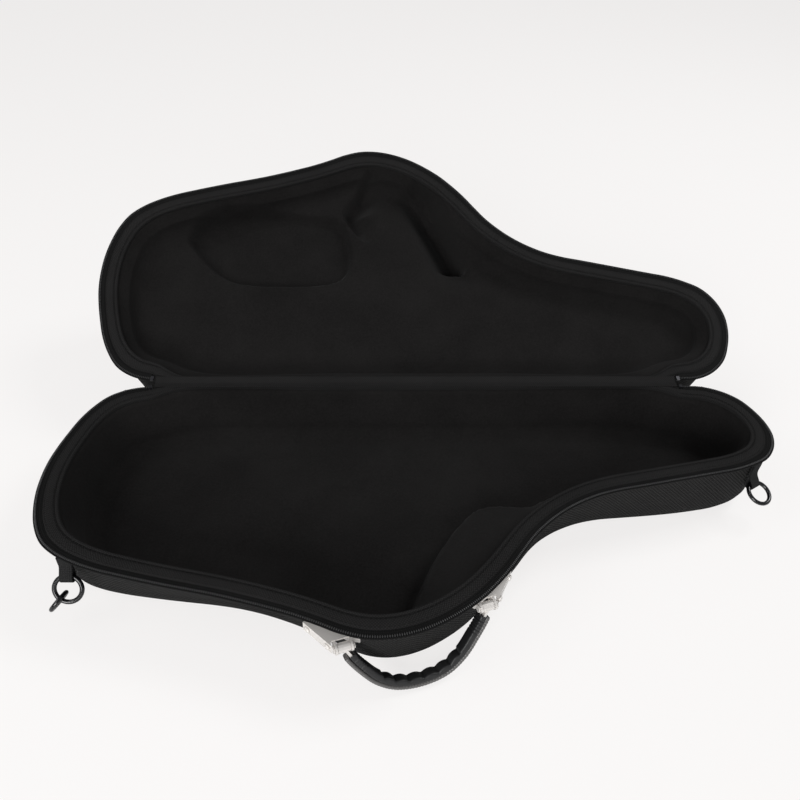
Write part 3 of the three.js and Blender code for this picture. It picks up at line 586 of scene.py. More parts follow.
class Wiring:
    """A node tree while it is put together."""

    def __init__(self, tree: bpy.types.NodeTree) -> None:
        """Start on a tree."""
        self.tree = tree

    def feed(self, target: bpy.types.NodeSocket, value: "Val | float | tuple") -> None:
        """Give a socket a link or a constant.

        Args:
            target: The socket.
            value: The value to link to it, or its constant.
        """
        if isinstance(value, Val):
            self.tree.links.new(value.socket, target)
        else:
            target.default_value = value

    def node(self, kind: str, output: int | str = 0, settings: dict | None = None,
             values: tuple = (), only: str = "", **inputs: "Val | float | tuple") -> "Val":
        """Add any node.

        Args:
            kind: Type of the node.
            output: Name or number of the output that is used.
            settings: Attributes of the node, which are set first.
            values: Values or links of its first inputs, in order.
            only: Socket type that numbers and values count, or nothing for all types.
            inputs: Values or links by socket name, with underscores for spaces.

        Returns:
            The chosen output.
        """
        node = self.tree.nodes.new(kind)
        for name, value in (settings or {}).items():
            setattr(node, name, value)
        ins, outs = ([socket for socket in sockets if only in ("", socket.type)]
                     for sockets in (node.inputs, node.outputs))
        for target, value in zip(ins, values):
            self.feed(target, value)
        for name, value in inputs.items():
            self.feed(node.inputs[name.replace("_", " ")], value)
        return Val(self, node.outputs[output] if isinstance(output, str) else outs[output])


def operator(operation: str, swapped: bool = False) -> Callable[..., "Val"]:
    """Make a method that adds a Maths node.

    Args:
        operation: The node's operation.
        swapped: Whether the other value comes first.

    Returns:
        The method.
    """
    def method(self: "Val", *others: "Val | float") -> "Val":
        """Maths node on this value and any others."""
        values = (*others, self) if swapped else (self, *others)
        return self.wiring.node("ShaderNodeMath", 0, {"operation": operation}, values)

    return method


class Val:
    """Value inside a node tree, with maths by operators."""

    def __init__(self, wiring: Wiring, socket: bpy.types.NodeSocket) -> None:
        """Wrap a socket of a tree."""
        self.wiring = wiring
        self.socket = socket

    __add__ = __radd__ = operator("ADD")
    __mul__ = __rmul__ = operator("MULTIPLY")
    __sub__, __rsub__ = operator("SUBTRACT"), operator("SUBTRACT", swapped=True)
    __truediv__, __rtruediv__ = operator("DIVIDE"), operator("DIVIDE", swapped=True)
    __mod__, __rmod__ = operator("FLOORED_MODULO"), operator("FLOORED_MODULO", swapped=True)
    __floor__ = operator("FLOOR")
    __abs__ = operator("ABSOLUTE")
    sine = operator("SINE")


class Shader(Wiring):
    """One procedural material while it is put together."""

    def __init__(self, name: str) -> None:
        """Start a material with a Principled surface.

        Args:
            name: Name of the material.
        """
        self.material = bpy.data.materials.new(name)
        self.material.use_nodes = True
        super().__init__(self.material.node_tree)
        self.surface = self.tree.nodes["Principled BSDF"]

    def cloth(self) -> tuple[Val, Val]:
        """Read the cloth coordinates.

        Returns:
            Across and down the cloth, in millimetres.
        """
        place = self.node("ShaderNodeUVMap", settings={"uv_map": "cloth"})
        return (self.node("ShaderNodeSeparateXYZ", "X", Vector=place),
                self.node("ShaderNodeSeparateXYZ", "Y", Vector=place))

    def noise(self, scale: float, detail: float = 3, rough: float = 0.55) -> Val:
        """Noise on the object coordinates.

        Args:
            scale: Waves in a metre.
            detail: Number of finer layers.
            rough: How strong each finer layer is.

        Returns:
            Value from 0 to 1.
        """
        place = self.node("ShaderNodeTexCoord", "Object")
        return self.node("ShaderNodeTexNoise", "Fac", Vector=place, Scale=scale, Detail=detail,
                         Roughness=rough)

    def blend(self, share: Val, low: tuple, high: tuple) -> Val:
        """Colour between two others.

        Args:
            share: How much of the second colour is in it.
            low: First colour, linear red, green and blue.
            high: Second colour.

        Returns:
            The colour.
        """
        return self.node("ShaderNodeMix", 0, {"data_type": "RGBA"}, ((*low, 1), (*high, 1)), "RGBA",
                         Factor=share)

    def bump(self, height: Val, distance: float) -> Val:
        """Bump with a height in units of a distance in metres."""
        return self.node("ShaderNodeBump", Height=height, Distance=distance, Strength=1)

    def finish(self, **inputs: "Val | float | tuple") -> bpy.types.Material:
        """Set the surface's sockets.

        Args:
            inputs: Values or links by socket name, with underscores for spaces.

        Returns:
            The material.
        """
        for name, value in inputs.items():
            self.feed(self.surface.inputs[name.replace("_", " ")], value)
        return self.material


def weave(u: Val, v: Val, pitch: float) -> Val:
    """Plain weave.

    Args:
        u: Cloth coordinate across, in millimetres.
        v: Cloth coordinate down, in millimetres.
        pitch: Distance between two threads, in millimetres.

    Returns:
        Height of the threads from 0 to 1.
    """
    across, down = u / pitch, v / pitch
    warp = abs((across * math.pi).sine())
    weft = abs((down * math.pi).sine())
    over = (math.floor(across) + math.floor(down)) % 2
    return over * warp * (weft * 0.5 + 0.5) + (1 - over) * weft * (warp * 0.5 + 0.5)


@dataclass(frozen=True)
class Finish:
    """Look of one material slot."""

    slot: Slot

    def shader(self) -> Shader:
        """Start the slot's material."""
        return Shader(f"{self.slot.value}_finish")


@dataclass(frozen=True)
class ClothFinish(Finish):
    """Look of a woven cloth."""

    dark: tuple
    light: tuple
    pitch: float
    roughness: float = 0.88
    gloss: float = 0.12
    cloud_scale: float = 22
    fuzz_scale: float = 1400
    thread_share: float = 0.62
    cloud_share: float = 0.24
    fuzz_share: float = 0.14
    thread_shine: float = 0.1
    fuzz_relief: float = 0.35
    relief: float = 0.00035
    turned: bool = False

    def build(self) -> bpy.types.Material:
        """Threads with a cloudy unevenness and fine fuzz.

        Returns:
            The material.
        """
        shader = self.shader()
        u, v = shader.cloth()
        if self.turned:
            u, v = u + v, u - v
        threads = weave(u, v, self.pitch)
        cloudy, fuzz = shader.noise(self.cloud_scale, 4), shader.noise(self.fuzz_scale, 2)
        share = threads * self.thread_share + cloudy * self.cloud_share + fuzz * self.fuzz_share
        return shader.finish(
            Base_Color=shader.blend(share, self.dark, self.light),
            Roughness=threads * -self.thread_shine + self.roughness,
            Specular_IOR_Level=self.gloss,
            Normal=shader.bump(threads + fuzz * self.fuzz_relief, self.relief),
        )


@dataclass(frozen=True)
class PlushFinish(Finish):
    """Look of the short pile on the moulded lining."""

    dark: tuple
    light: tuple
    contrast: float = 1.7
    roughness: float = 0.86
    gloss: float = 0.08
    sheen: float = 0.035
    sheen_roughness: float = 0.5
    cloud_scale: float = 14
    pile_scale: float = 500
    knit_scale: float = 260
    cloud_share: float = 0.45
    pile_share: float = 0.55
    pile_roughness: float = 0.1
    pile_relief: float = 0.6
    knit_relief: float = 0.4
    relief: float = 0.0003

    def build(self) -> bpy.types.Material:
        """Cloudy pile with a fine knit behind it.

        Returns:
            The material.
        """
        shader = self.shader()
        cloudy = shader.noise(self.cloud_scale, 5, 0.6)
        pile, knit = shader.noise(self.pile_scale, 3, 0.75), shader.noise(self.knit_scale, 2)
        share = cloudy * self.cloud_share + pile * self.pile_share
        share = (share - 0.5) * self.contrast + 0.5
        return shader.finish(
            Base_Color=shader.blend(share, self.dark, self.light),
            Roughness=pile * self.pile_roughness + self.roughness,
            Specular_IOR_Level=self.gloss,
            Sheen_Weight=self.sheen,
            Sheen_Roughness=self.sheen_roughness,
            Normal=shader.bump(pile * self.pile_relief + knit * self.knit_relief, self.relief),
        )


@dataclass(frozen=True)
class SmoothFinish(Finish):
    """Look of plastic, rubber or steel."""

    colour: tuple
    roughness: float
    metallic: float = 0
    coat: float = 0
    wear: float = 0.2
    cloud_scale: float = 30
    grain_scale: float = 350
    relief: float = 0.00006

    def build(self) -> bpy.types.Material:
        """Slightly clouded colour and roughness with a fine grain.

        Returns:
            The material.
        """
        shader = self.shader()
        cloudy, fine = shader.noise(self.cloud_scale, 4), shader.noise(self.grain_scale, 3)
        dim = tuple(c * (1 - self.wear) for c in self.colour)
        worn = (cloudy * 0.5 + fine * 0.5) * (2 * self.wear) + (1 - self.wear)
        return shader.finish(
            Base_Color=shader.blend(cloudy, dim, self.colour),
            Roughness=worn * self.roughness,
            Metallic=self.metallic,
            Coat_Weight=self.coat,
            Normal=shader.bump(fine, self.relief),
        )


class Palette:
    """All the materials of the bag, by slot."""

    FINISHES = (
        ClothFinish(Slot.WOVEN, (0.002, 0.002, 0.002), (0.043, 0.0425, 0.042), pitch=3.4,
                    relief=0.001, turned=True),
        ClothFinish(Slot.BINDING, (0.002, 0.002, 0.0021), (0.027, 0.0263, 0.0263), pitch=2.1,
                    relief=0.0004, turned=True),
        PlushFinish(Slot.LINING, (0.003, 0.0028, 0.0027), (0.0165, 0.0155, 0.0153)),
        # Painted highlight in part: the coil's colour is lifted to stand in for the highlights on its
        # teeth
        SmoothFinish(Slot.ZIP, (0.04, 0.04, 0.041), roughness=0.5),
        SmoothFinish(Slot.GRIP, (0.014, 0.0142, 0.0148), roughness=0.5, relief=0.0001),
        # Painted highlight: the spine is coloured far paler than the grip to stand in for the light
        # that the handle's outer band catches
        SmoothFinish(Slot.SPINE, (0.13, 0.126, 0.123), roughness=0.32),
        ClothFinish(Slot.WEBBING, (0.008, 0.008, 0.0085), (0.03, 0.03, 0.03), pitch=1.4),
        SmoothFinish(Slot.GLOSS, (0.005, 0.005, 0.006), roughness=0.2, coat=0.2),
        SmoothFinish(Slot.BRIGHT, (0.9, 0.865, 0.83), roughness=0.36, metallic=0.25),
        SmoothFinish(Slot.DARK, (0.05, 0.05, 0.055), roughness=0.34, metallic=0.8),
    )
    # Painted shade in part: the tape's dark colour also stands in for the shade in the gap beside the
    # coil
    TAPE = ClothFinish(Slot.ZIP, (0.002, 0.002, 0.002), (0.012, 0.012, 0.012), pitch=1.5)

    def __init__(self) -> None:
        """Build every material."""
        self.materials = {finish.slot: finish.build() for finish in self.FINISHES}
        self.tape = self.TAPE.build()

    def __getitem__(self, slot: Slot) -> bpy.types.Material:
        """Material of a slot."""
        return self.materials[slot]


@dataclass(frozen=True)
class RowSpec:
    """Beads set along a line: pitch and size in millimetres, facets and unevenness."""

    pitch: float
    along: float
    across: float
    high: float
    segments: int
    rings: int
    unevenness: float = 0.05


class RepeatGroup:
    """Geometry nodes that set round beads along a line, such as zip teeth or stitches."""

    INPUTS = {"Pitch": "Float", "Bead Size": "Vector", "Segments": "Int", "Rings": "Int",
              "Unevenness": "Float", "Seed": "Int", "Finish": "Material"}
    SEED = 4

    def __init__(self) -> None:
        """Build the group: resample the line, set a bead at each point, turn and size it."""
        self.group = bpy.data.node_groups.new("beads_along_line", "GeometryNodeTree")
        face = self.group.interface
        face.new_socket("Geometry", in_out="INPUT", socket_type="NodeSocketGeometry")
        self.names = {}
        for name, kind in self.INPUTS.items():
            socket = face.new_socket(name, in_out="INPUT", socket_type=f"NodeSocket{kind}")
            self.names[name] = socket.identifier
        face.new_socket("Geometry", in_out="OUTPUT", socket_type="NodeSocketGeometry")
        wiring = Wiring(self.group)
        start = self.group.nodes.new("NodeGroupInput")
        line, pitch, size, segments, rings, unevenness, seed, finish = (
            Val(wiring, start.outputs[name]) for name in ("Geometry", *self.INPUTS))
        curve = wiring.node("GeometryNodeMeshToCurve", Mesh=line)
        places = wiring.node("GeometryNodeResampleCurve", settings={"mode": "LENGTH"},
                             Curve=curve, Length=pitch)
        bead = wiring.node("GeometryNodeMeshUVSphere", Radius=0.5, Segments=segments, Rings=rings)
        turn = wiring.node("FunctionNodeAlignRotationToVector",
                           settings={"axis": "X", "pivot_axis": "Z"},
                           Vector=wiring.node("GeometryNodeInputTangent"))
        share = wiring.node("FunctionNodeRandomValue", 0, {"data_type": "FLOAT"},
                            (1 - unevenness, 1), "VALUE", Seed=seed)
        scale = wiring.node("ShaderNodeVectorMath", settings={"operation": "SCALE"},
                            values=(size,), Scale=share)
        beads = wiring.node("GeometryNodeInstanceOnPoints", Points=places, Instance=bead,
                            Rotation=turn, Scale=scale)
        solid = wiring.node("GeometryNodeRealizeInstances", Geometry=beads)
        painted = wiring.node("GeometryNodeSetMaterial", Geometry=solid, Material=finish)
        wiring.feed(self.group.nodes.new("NodeGroupOutput").inputs["Geometry"], painted)

    def build(self, name: str, lines: list[np.ndarray], spec: RowSpec,
              material: bpy.types.Material, place: Matrix) -> bpy.types.Object:
        """Set beads along open lines and convert them to one mesh.

        Args:
            name: Name of the piece.
            lines: Lines of points in millimetres.
            spec: Pitch and size of the beads.
            material: Their material.
            place: Placement of the finished mesh, in millimetres.

        Returns:
            The object, linked to the scene.
        """
        points, edges = [], []
        for line in lines:
            first = len(points)
            points.extend((line * MM).tolist())
            edges.extend((first + i, first + i + 1) for i in range(len(line) - 1))
        path = bpy.data.meshes.new(name + "_path")
        path.from_pydata(points, edges, [])
        item = linked(name, path)
        modifier = item.modifiers.new("beads", "NODES")
        modifier.node_group = self.group
        values = (spec.pitch * MM, (spec.along * MM, spec.across * MM, spec.high * MM),
                  spec.segments, spec.rings, spec.unevenness, self.SEED, material)
        for identifier, value in zip(self.names.values(), values):
            modifier[identifier] = value
        item.update_tag()
        bpy.context.view_layer.update()
        graph = bpy.context.evaluated_depsgraph_get()
        mesh = bpy.data.meshes.new_from_object(item.evaluated_get(graph))
        item.modifiers.remove(modifier)
        item.data = mesh
        scaled = place.copy()
        scaled.translation = place.translation * MM
        mesh.transform(scaled)
        mesh.shade_smooth()
        return item


@dataclass(frozen=True)
class HalfSizes:
    """Sizes of one half of the bag, in millimetres.

    The name is also that of its body, upward is 1 for the lid and -1 for the base, and the crown
    share says how much of the floor's crown the half has.
    """

    name: str
    upward: int
    depth: float
    floor_depth: float
    wall_run: float
    crown_share: float
    floor_radius: float = 14
    shell_rows: int = 6
    bend_rows: int = 7
    hollow_rows: int = 9
    hollow_bend_rows: int = 10
    shell_spacing: float = 11
    floor_spacing: float = 3.4
    hidden_spacing: float = 30
    crown: float = 1.6
    crown_run: float = 60
    crown_wave: float = 210
    wall_swell: float = 0.35
    wall_wave: float = 130
    floor_swell: float = 0.5
    floor_wave: float = 150
    floor_run: float = 25
    stitch_lift: float = 0.2
    tape_start: float = 0.4
    tape_sewn_in: float = 0.7
    tape_ease: float = 0.3
    tape_side_ease: float = 0.2
    coil_lift: float = 1.1
    coil_share: float = 0.55


class BagHalf:
    """One half of the bag, built in its closed place: shell, lining, binding and zip."""

    # Section of the border: share of its width and how far it lies below its top, as a share
    BORDER_SHARES = ((0, 1), (0, 0.55), (0.02, 0.3), (0.07, 0.12), (0.15, 0.03), (0.28, 0),
                     (0.45, 0.02), (0.6, 0.07), (0.7, 0.16), (0.735, 0.3), (0.77, 0.16),
                     (0.83, 0.02), (0.9, 0.02), (0.96, 0.12), (0.99, 0.35), (1, 0.6), (1, 1))
    STITCH_SHARES = (0.13, 0.66)
    STITCH = RowSpec(pitch=3.4, along=2.5, across=0.55, high=0.5, segments=6, rings=4)
    COIL = RowSpec(pitch=1.7, along=0.95, across=2.1, high=1.7, segments=6, rings=5, unevenness=0)

    def __init__(self, sizes: HalfSizes, palette: Palette, beads: RepeatGroup,
                 place: Matrix = UNMOVED) -> None:
        """Keep the half's sizes and work out where its wall bends over.

        Args:
            sizes: Sizes of the half.
            palette: Materials of the bag.
            beads: Geometry nodes for its stitches and its coil.
            place: Placement of the half, in millimetres.
        """
        self.sizes = sizes
        self.palette = palette
        self.beads = beads
        self.place = place
        self.depth = sizes.depth + BAG.rim_gap
        self.bend = self.depth - BAG.edge_radius
        self.hinge_foot = BAG.hinge_inset + (self.bend - BAG.seat_depth) * math.tan(BAG.hinge_draft)

    def height(self, depth: float | np.ndarray) -> float | np.ndarray:
        """Z at a depth below the parting plane."""
        return BAG.parting_z + self.sizes.upward * depth

    def lifted(self, line: np.ndarray, depth: float) -> np.ndarray:
        """Plan line raised to a depth."""
        return np.column_stack([line, np.full(len(line), self.height(depth))])

    def ring_at(self, insets: np.ndarray, depth: float) -> np.ndarray:
        """Fine ring at an inset for each rim point and a depth."""
        return RIM.refined(self.lifted(RIM.inwards(insets), depth))

    def ring(self, free_inset: float, hinge_inset: float, depth: float) -> np.ndarray:
        """Fine ring at an inset for the free edge, one for the hinge edge and a depth."""
        return self.ring_at(np.where(RIM.is_free, free_inset, hinge_inset), depth)

    def outside_inset(self, depth: float, margin: float) -> np.ndarray:
        """Inset of the outside.

        Args:
            depth: Depth below the parting plane.
            margin: How far it is drawn inwards.

        Returns:
            Inset for each rim point.
        """
        share = np.clip((depth - BAG.seat_depth) / (self.bend - BAG.seat_depth), 0, 1)
        free = BAG.wall_inset + (RIM.feet - BAG.wall_inset) * share
        hinge = BAG.hinge_inset + (self.hinge_foot - BAG.hinge_inset) * share
        wall = np.where(RIM.is_free, free, hinge)
        radius = BAG.edge_radius - margin
        over = min(1, max(0, depth - self.bend) / radius)
        return wall + margin + radius * (1 - math.sqrt(1 - over * over))

    def coarse_wall(self, depth: float) -> np.ndarray:
        """Coarse ring of the outside."""
        return self.lifted(RIM.inwards(self.outside_inset(depth, 0)), depth)

    def tub(self, margin: float, wall_rows: int = 3) -> list[np.ndarray]:
        """Rings of the outside from its mouth to its floor.

        Args:
            margin: How far they are drawn inwards.
            wall_rows: Rings down the straight wall.

        Returns:
            Fine rings.
        """
        turns = np.linspace(0, math.pi / 2, self.sizes.bend_rows + 1)[1:]
        depths = [*np.linspace(BAG.seat_depth, self.bend, wall_rows),
                  *(self.bend + (BAG.edge_radius - margin) * math.sin(turn) for turn in turns)]
        return [self.ring_at(self.outside_inset(depth, margin), depth) for depth in depths]

    def hollow(self) -> list[np.ndarray]:
        """Rings of the lined hollow.

        Returns:
            Fine rings from the crease to the floor.
        """
        margin = BAG.shell_wall + BAG.seat_gap + BAG.lining_wall
        run, radius = self.sizes.wall_run, self.sizes.floor_radius
        straight = self.sizes.floor_depth - radius
        ways = [(share * run, BAG.seat_depth + share * (straight - BAG.seat_depth))
                for share in np.linspace(0, 1, self.sizes.hollow_rows)]
        ways += [(run + radius * (1 - math.cos(turn)), straight + radius * math.sin(turn))
                 for turn in np.linspace(0, math.pi / 2, self.sizes.hollow_bend_rows + 1)[1:]]
        crease = np.where(RIM.is_free, BAG.crease_inset, BAG.hinge_crease_inset)
        rings = []
        for inwards, depth in ways:
            insets = np.maximum(self.outside_inset(depth, margin), inwards + crease)
            if inwards == 0:
                insets = crease
            rings.append(self.ring_at(insets, depth))
        return rings

    def shaped(self, points: np.ndarray, depths: np.ndarray) -> np.ndarray:
        """Depths of the lining once its relief is moulded in.

        Args:
            points: Plan points; not used here.
            depths: Their depths on the plain tray.

        Returns:
            Their depths with the relief.
        """
        return depths

    def dress(self, kind: str, node: str, skin: Skin, slot: Slot,
              sharp: float = 45) -> None:
        """Make a padded piece of a skin.

        Args:
            kind: Name of the piece after the half's.
            node: Name of the CAD node after the half's.
            skin: Its points and faces.
            slot: Its material slot.
            sharp: Angle in degrees above which an edge stays sharp.
        """
        name = self.sizes.name
        item = as_object(f"{name}_{kind}", skin, self.palette[slot], self.place, sharp)
        settle(item, slot, name, f"{name}_{node}")

    def tray(self, outer: list[np.ndarray], inner: list[np.ndarray],
             outer_cap: tuple, inner_cap: tuple) -> Skin:
        """Closed tray with an outer and an inner wall.

        Args:
            outer: Rings of the outer wall from its mouth to its floor.
            inner: Rings of the inner wall from its mouth to its floor.
            outer_cap: Spacing and height function of the outer floor.
            inner_cap: Spacing and height function of the inner floor.

        Returns:
            The skin.
        """
        skin = Skin()
        rows = np.array([*outer[::-1], *inner])
        first = skin.rows(rows)
        skin.cap(outer[-1], first, *outer_cap)
        skin.cap(inner[-1], first + (len(rows) - 1) * rows.shape[1], *inner_cap)
        return skin

    def build_shell(self) -> None:
        """Moulded shell: a tub with a thin wall and a slightly crowned floor."""
        sizes = self.sizes
        outer, inner = self.tub(0, sizes.shell_rows), self.tub(BAG.shell_wall)
        for ring in (*outer[1:-1], *inner[1:-1]):
            ring[:, :2] += self.swell(ring)

        def crowned(points: np.ndarray) -> np.ndarray:
            """Work out the shell's floor.

            Args:
                points: Plan points.

            Returns:
                Z at each of them.
            """
            soft = smooth(0, sizes.crown_run, within(outer[-1][:, :2], points))
            crown = sizes.crown + sizes.floor_swell * ripple(points, sizes.crown_wave, 1)
            return self.height(self.depth) + sizes.crown_share * (soft * crown)

        skin = self.tray(outer, inner, (sizes.shell_spacing, crowned), (sizes.hidden_spacing,))
        self.dress("shell_cloth", "shell", skin, Slot.WOVEN)

    def swell(self, ring: np.ndarray) -> np.ndarray:
        """Slow unevenness of the wall.

        Args:
            ring: Fine ring of the wall.

        Returns:
            Shift of each point along its plan normal.
        """
        along = np.roll(ring, -1, axis=0) - np.roll(ring, 1, axis=0)
        out = np.column_stack([along[:, 1], -along[:, 0]])
        out /= np.maximum(np.linalg.norm(out, axis=1), 1e-6)[:, None]
        return out * (ripple(ring, self.sizes.wall_wave, 2) * self.sizes.wall_swell)[:, None]

    def build_lining(self) -> None:
        """Moulded lining: a closed tray with its relief."""
        sizes = self.sizes
        outer, inner = self.tub(BAG.shell_wall + BAG.seat_gap), self.hollow()
        for ring in inner[1:]:
            plain = np.full(len(ring), abs(ring[0, 2] - BAG.parting_z))
            ring[:, 2] = self.height(self.shaped(ring[:, :2], plain))

        def floor(points: np.ndarray) -> np.ndarray:
            """Work out the lining's floor.

            Args:
                points: Plan points.

            Returns:
                Z at each of them.
            """
            soft = smooth(0, sizes.floor_run, within(inner[-1][:, :2], points))
            swell = soft * ripple(points, sizes.floor_wave, 3) * sizes.floor_swell
            return self.height(self.shaped(points, sizes.floor_depth + swell))

        skin = self.tray(outer, inner, (sizes.hidden_spacing,), (sizes.floor_spacing, floor))
        self.dress("lining_cloth", "lining", skin, Slot.LINING, sharp=80)

    def add_row(self, kind: str, lines: list[np.ndarray], spec: RowSpec, slot: Slot) -> None:
        """Set a row of beads on this half.

        Args:
            kind: Name of the piece after the half's.
            lines: Lines of points in millimetres.
            spec: Pitch and size of the beads.
            slot: Its material slot.
        """
        name = self.sizes.name
        item = self.beads.build(f"{name}_{kind}", lines, spec, self.palette[slot], self.place)
        settle(item, slot, name)

    def build_binding(self) -> None:
        """Padded woven border with a piping line along its inner edge."""
        outer, inner = BAG.wall_inset - BAG.seat_gap, BAG.crease_inset - BAG.seat_gap
        stitch_depth = BAG.rim_gap + self.sizes.stitch_lift
        rows = []
        for share, drop in self.BORDER_SHARES:
            depth = BAG.rim_gap + drop * BAG.binding_height
            hinge = BAG.hinge_inset + share * BAG.hinge_binding_width
            rows.append(self.ring(outer + share * (inner - outer), hinge, depth))
        skin = Skin()
        skin.rows(np.array(rows), wraps=True)
        self.dress("border", "rim_binding", skin, Slot.BINDING, sharp=70)
        lines = [self.ring(outer + share * (inner - outer), 1, stitch_depth)[:RIM.free_columns]
                 for share in self.STITCH_SHARES]
        self.add_row("border_stitches", lines, self.STITCH, Slot.BINDING)

    def build_zip(self) -> None:
        """Zip: woven tape and the coil that stands on its edge."""
        sizes = self.sizes
        name, ease, side_ease = sizes.name, sizes.tape_ease, sizes.tape_side_ease
        low = BAG.rim_gap + BAG.coil_height
        top = low - BAG.tape_thickness
        start, sewn = sizes.tape_start, BAG.wall_inset - 2 * BAG.seat_gap + sizes.tape_sewn_in
        section = ((start, top + side_ease), (start + ease, top), (sewn - ease, top),
                   (sewn, top + ease), (sewn, low - side_ease), (sewn - ease, low),
                   (start + ease, low), (start, low - side_ease))
        skin = Skin()
        skin.bar(np.array([self.ring(inset, BAG.hinge_inset, depth)[:RIM.free_columns]
                           for inset, depth in section]))
        tape = as_object(f"{name}_zip_tape", skin, self.palette.tape, self.place)
        settle(tape, Slot.ZIP, name, f"{name}_zip")
        line = self.ring(BAG.coil_width * sizes.coil_share, 1, BAG.rim_gap + sizes.coil_lift)
        self.add_row("zip_coil", [line[:RIM.free_columns]], self.COIL, Slot.ZIP)

    def build(self) -> None:
        """Build every piece of this half."""
        self.build_shell()
        self.build_lining()
        self.build_binding()
        self.build_zip()


class BaseHalf(BagHalf):
    """Base with a sloping stop in its lining."""

    LIP_SHARES = ((0.455, 0.935), (0.512, 0.868), (0.553, 0.8), (0.589, 0.69), (0.63, 0.572),
                  (0.662, 0.51))
    FOOT_SHARES = ((0.471, 0.843), (0.489, 0.746), (0.51, 0.648), (0.5404, 0.547),
                   (0.5682, 0.49), (0.632, 0.488))
    LIP_DEPTH, FOOT_DEPTH, RUN = 7, 28, 8

    def shaped(self, points: np.ndarray, depths: np.ndarray) -> np.ndarray:
        """Sloping stop: the floor rises to a facet between its foot and its lip.

        Args:
            points: Plan points.
            depths: Their depths on the plain tray.

        Returns:
            Their depths with the facet.
        """
        lines = [plan_line(shares, steps=8) for shares in (self.LIP_SHARES, self.FOOT_SHARES)]
        to_lip, to_foot = (np.linalg.norm(points[:, None] - line[None], axis=2).min(axis=1)
                           for line in lines)
        share = to_lip / np.maximum(to_lip + to_foot, 1e-6)
        facet = self.LIP_DEPTH + share * (self.FOOT_DEPTH - self.LIP_DEPTH)
        inside = within(np.vstack([lines[0], lines[1][::-1]]), points)
        return np.minimum(depths, depths + (facet - depths) * smooth(-self.RUN, 0.5, inside))


@dataclass(frozen=True)
class Hollow:
    """Hollow pressed into a floor beside a crisp edge, fading out on its other side.

    The edge is given in plan shares and the hollow lies on its left. Depth shares hold for even
    steps along the edge. The depth, the steep run and the soft run are in millimetres.
    """

    edge_shares: tuple
    depth_shares: tuple
    depth: float
    steep: float
    soft: float

    def press(self, points: np.ndarray) -> np.ndarray:
        """Press the hollow in.

        Args:
            points: Plan points.

        Returns:
            Depth of the hollow at each of them.
        """
        line = plan_line(self.edge_shares)
        offsets = points[:, None] - line[None]
        nearest = np.linalg.norm(offsets, axis=2).argmin(axis=1)
        offset, way = offsets[np.arange(len(points)), nearest], headings(line)[nearest]
        side = way[:, 0] * offset[:, 1] - way[:, 1] * offset[:, 0]
        beyond = np.abs((way * offset).sum(axis=1))
        steps = np.linspace(0, 1, len(self.depth_shares))
        depth = self.depth * np.interp(nearest / (len(line) - 1), steps, self.depth_shares)
        shape = smooth(-0.5, self.steep, side) * (1 - smooth(self.steep, self.soft, side))
        return depth * shape * (1 - smooth(0, self.soft / 2, beyond))


class LidHalf(BagHalf):
    """Lid with a rounded recess, a long groove and a small hollow in its lining."""

    RECESS_SHARES = ((0.1211, 0.6413), (0.1423, 0.5557), (0.1759, 0.4765), (0.2128, 0.4378),
                     (0.3602, 0.4404), (0.3866, 0.4762), (0.3966, 0.539), (0.3932, 0.6349),
                     (0.3777, 0.7281), (0.307, 0.76), (0.2049, 0.7557), (0.1471, 0.7115))
    RECESS_DEPTH, RECESS_SLOPE = 11, 6
    DEEP_END, DEEP_END_SLOPE, DEEP_FROM_SHARE, DEEP_TO_SHARE = 10, 22, -0.375, -0.27
    GROOVE = Hollow(((0.515, 0.932), (0.531, 0.883), (0.556, 0.766), (0.579, 0.644),
                     (0.594, 0.552), (0.599, 0.51)), (0, 0.5, 0.95, 1, 1, 0.25),
                    depth=36, steep=10.5, soft=46)
    DENT = Hollow(((0.4203, 0.6125), (0.3966, 0.6769), (0.3793, 0.7711), (0.4036, 0.8593),
                   (0.4267, 0.9396)), (0, 0.6, 1, 0.9, 0.1), depth=19, steep=7, soft=36)

    def shaped(self, points: np.ndarray, depths: np.ndarray) -> np.ndarray:
        """Recess, deeper at its left end, and the two hollows.

        Args:
            points: Plan points.
            depths: Their depths on the plain tray.

        Returns:
            Their depths with the relief.
        """
        inside = within(plan_line(self.RECESS_SHARES, closed=True), points)
        deep = 1 - smooth(self.DEEP_FROM_SHARE * BAG.length, self.DEEP_TO_SHARE * BAG.length,
                          points[:, 0])
        recess = (self.RECESS_DEPTH * smooth(-1, self.RECESS_SLOPE, inside)
                  + self.DEEP_END * deep * smooth(0, self.DEEP_END_SLOPE, inside))
        hollows = np.maximum(self.GROOVE.press(points), self.DENT.press(points))
        return depths + np.maximum(recess, hollows)


def open_tilt(lid: BagHalf) -> float:
    """Angle of the open lid above the table, where it just rests on it.

    Args:
        lid: The lid in its closed place.

    Returns:
        The angle in radians.
    """
    depths = [BAG.seat_depth, *(lid.bend + BAG.edge_radius * math.sin(step / 3 * math.pi / 2)
                                for step in range(4))]
    outside = np.vstack([lid.coarse_wall(depth) for depth in depths])
    behind, above = BAG.axis[1] - outside[:, 1], outside[:, 2] - BAG.parting_z
    low, high, halvings = 0.0, math.pi / 2, 56
    for _ in range(halvings):
        middle = (low + high) / 2
        heights = BAG.parting_z + behind * math.sin(middle) - above * math.cos(middle)
        low, high = (middle, high) if heights.min() < 0 else (low, middle)
    return high


def opened(angle: float) -> Matrix:
    """Placement of the lid laid back by an angle about the hinge axis, in millimetres."""
    pivot = Matrix.Translation(BAG.axis)
    return pivot @ Matrix.Rotation(-angle, 4, "X") @ pivot.inverted()


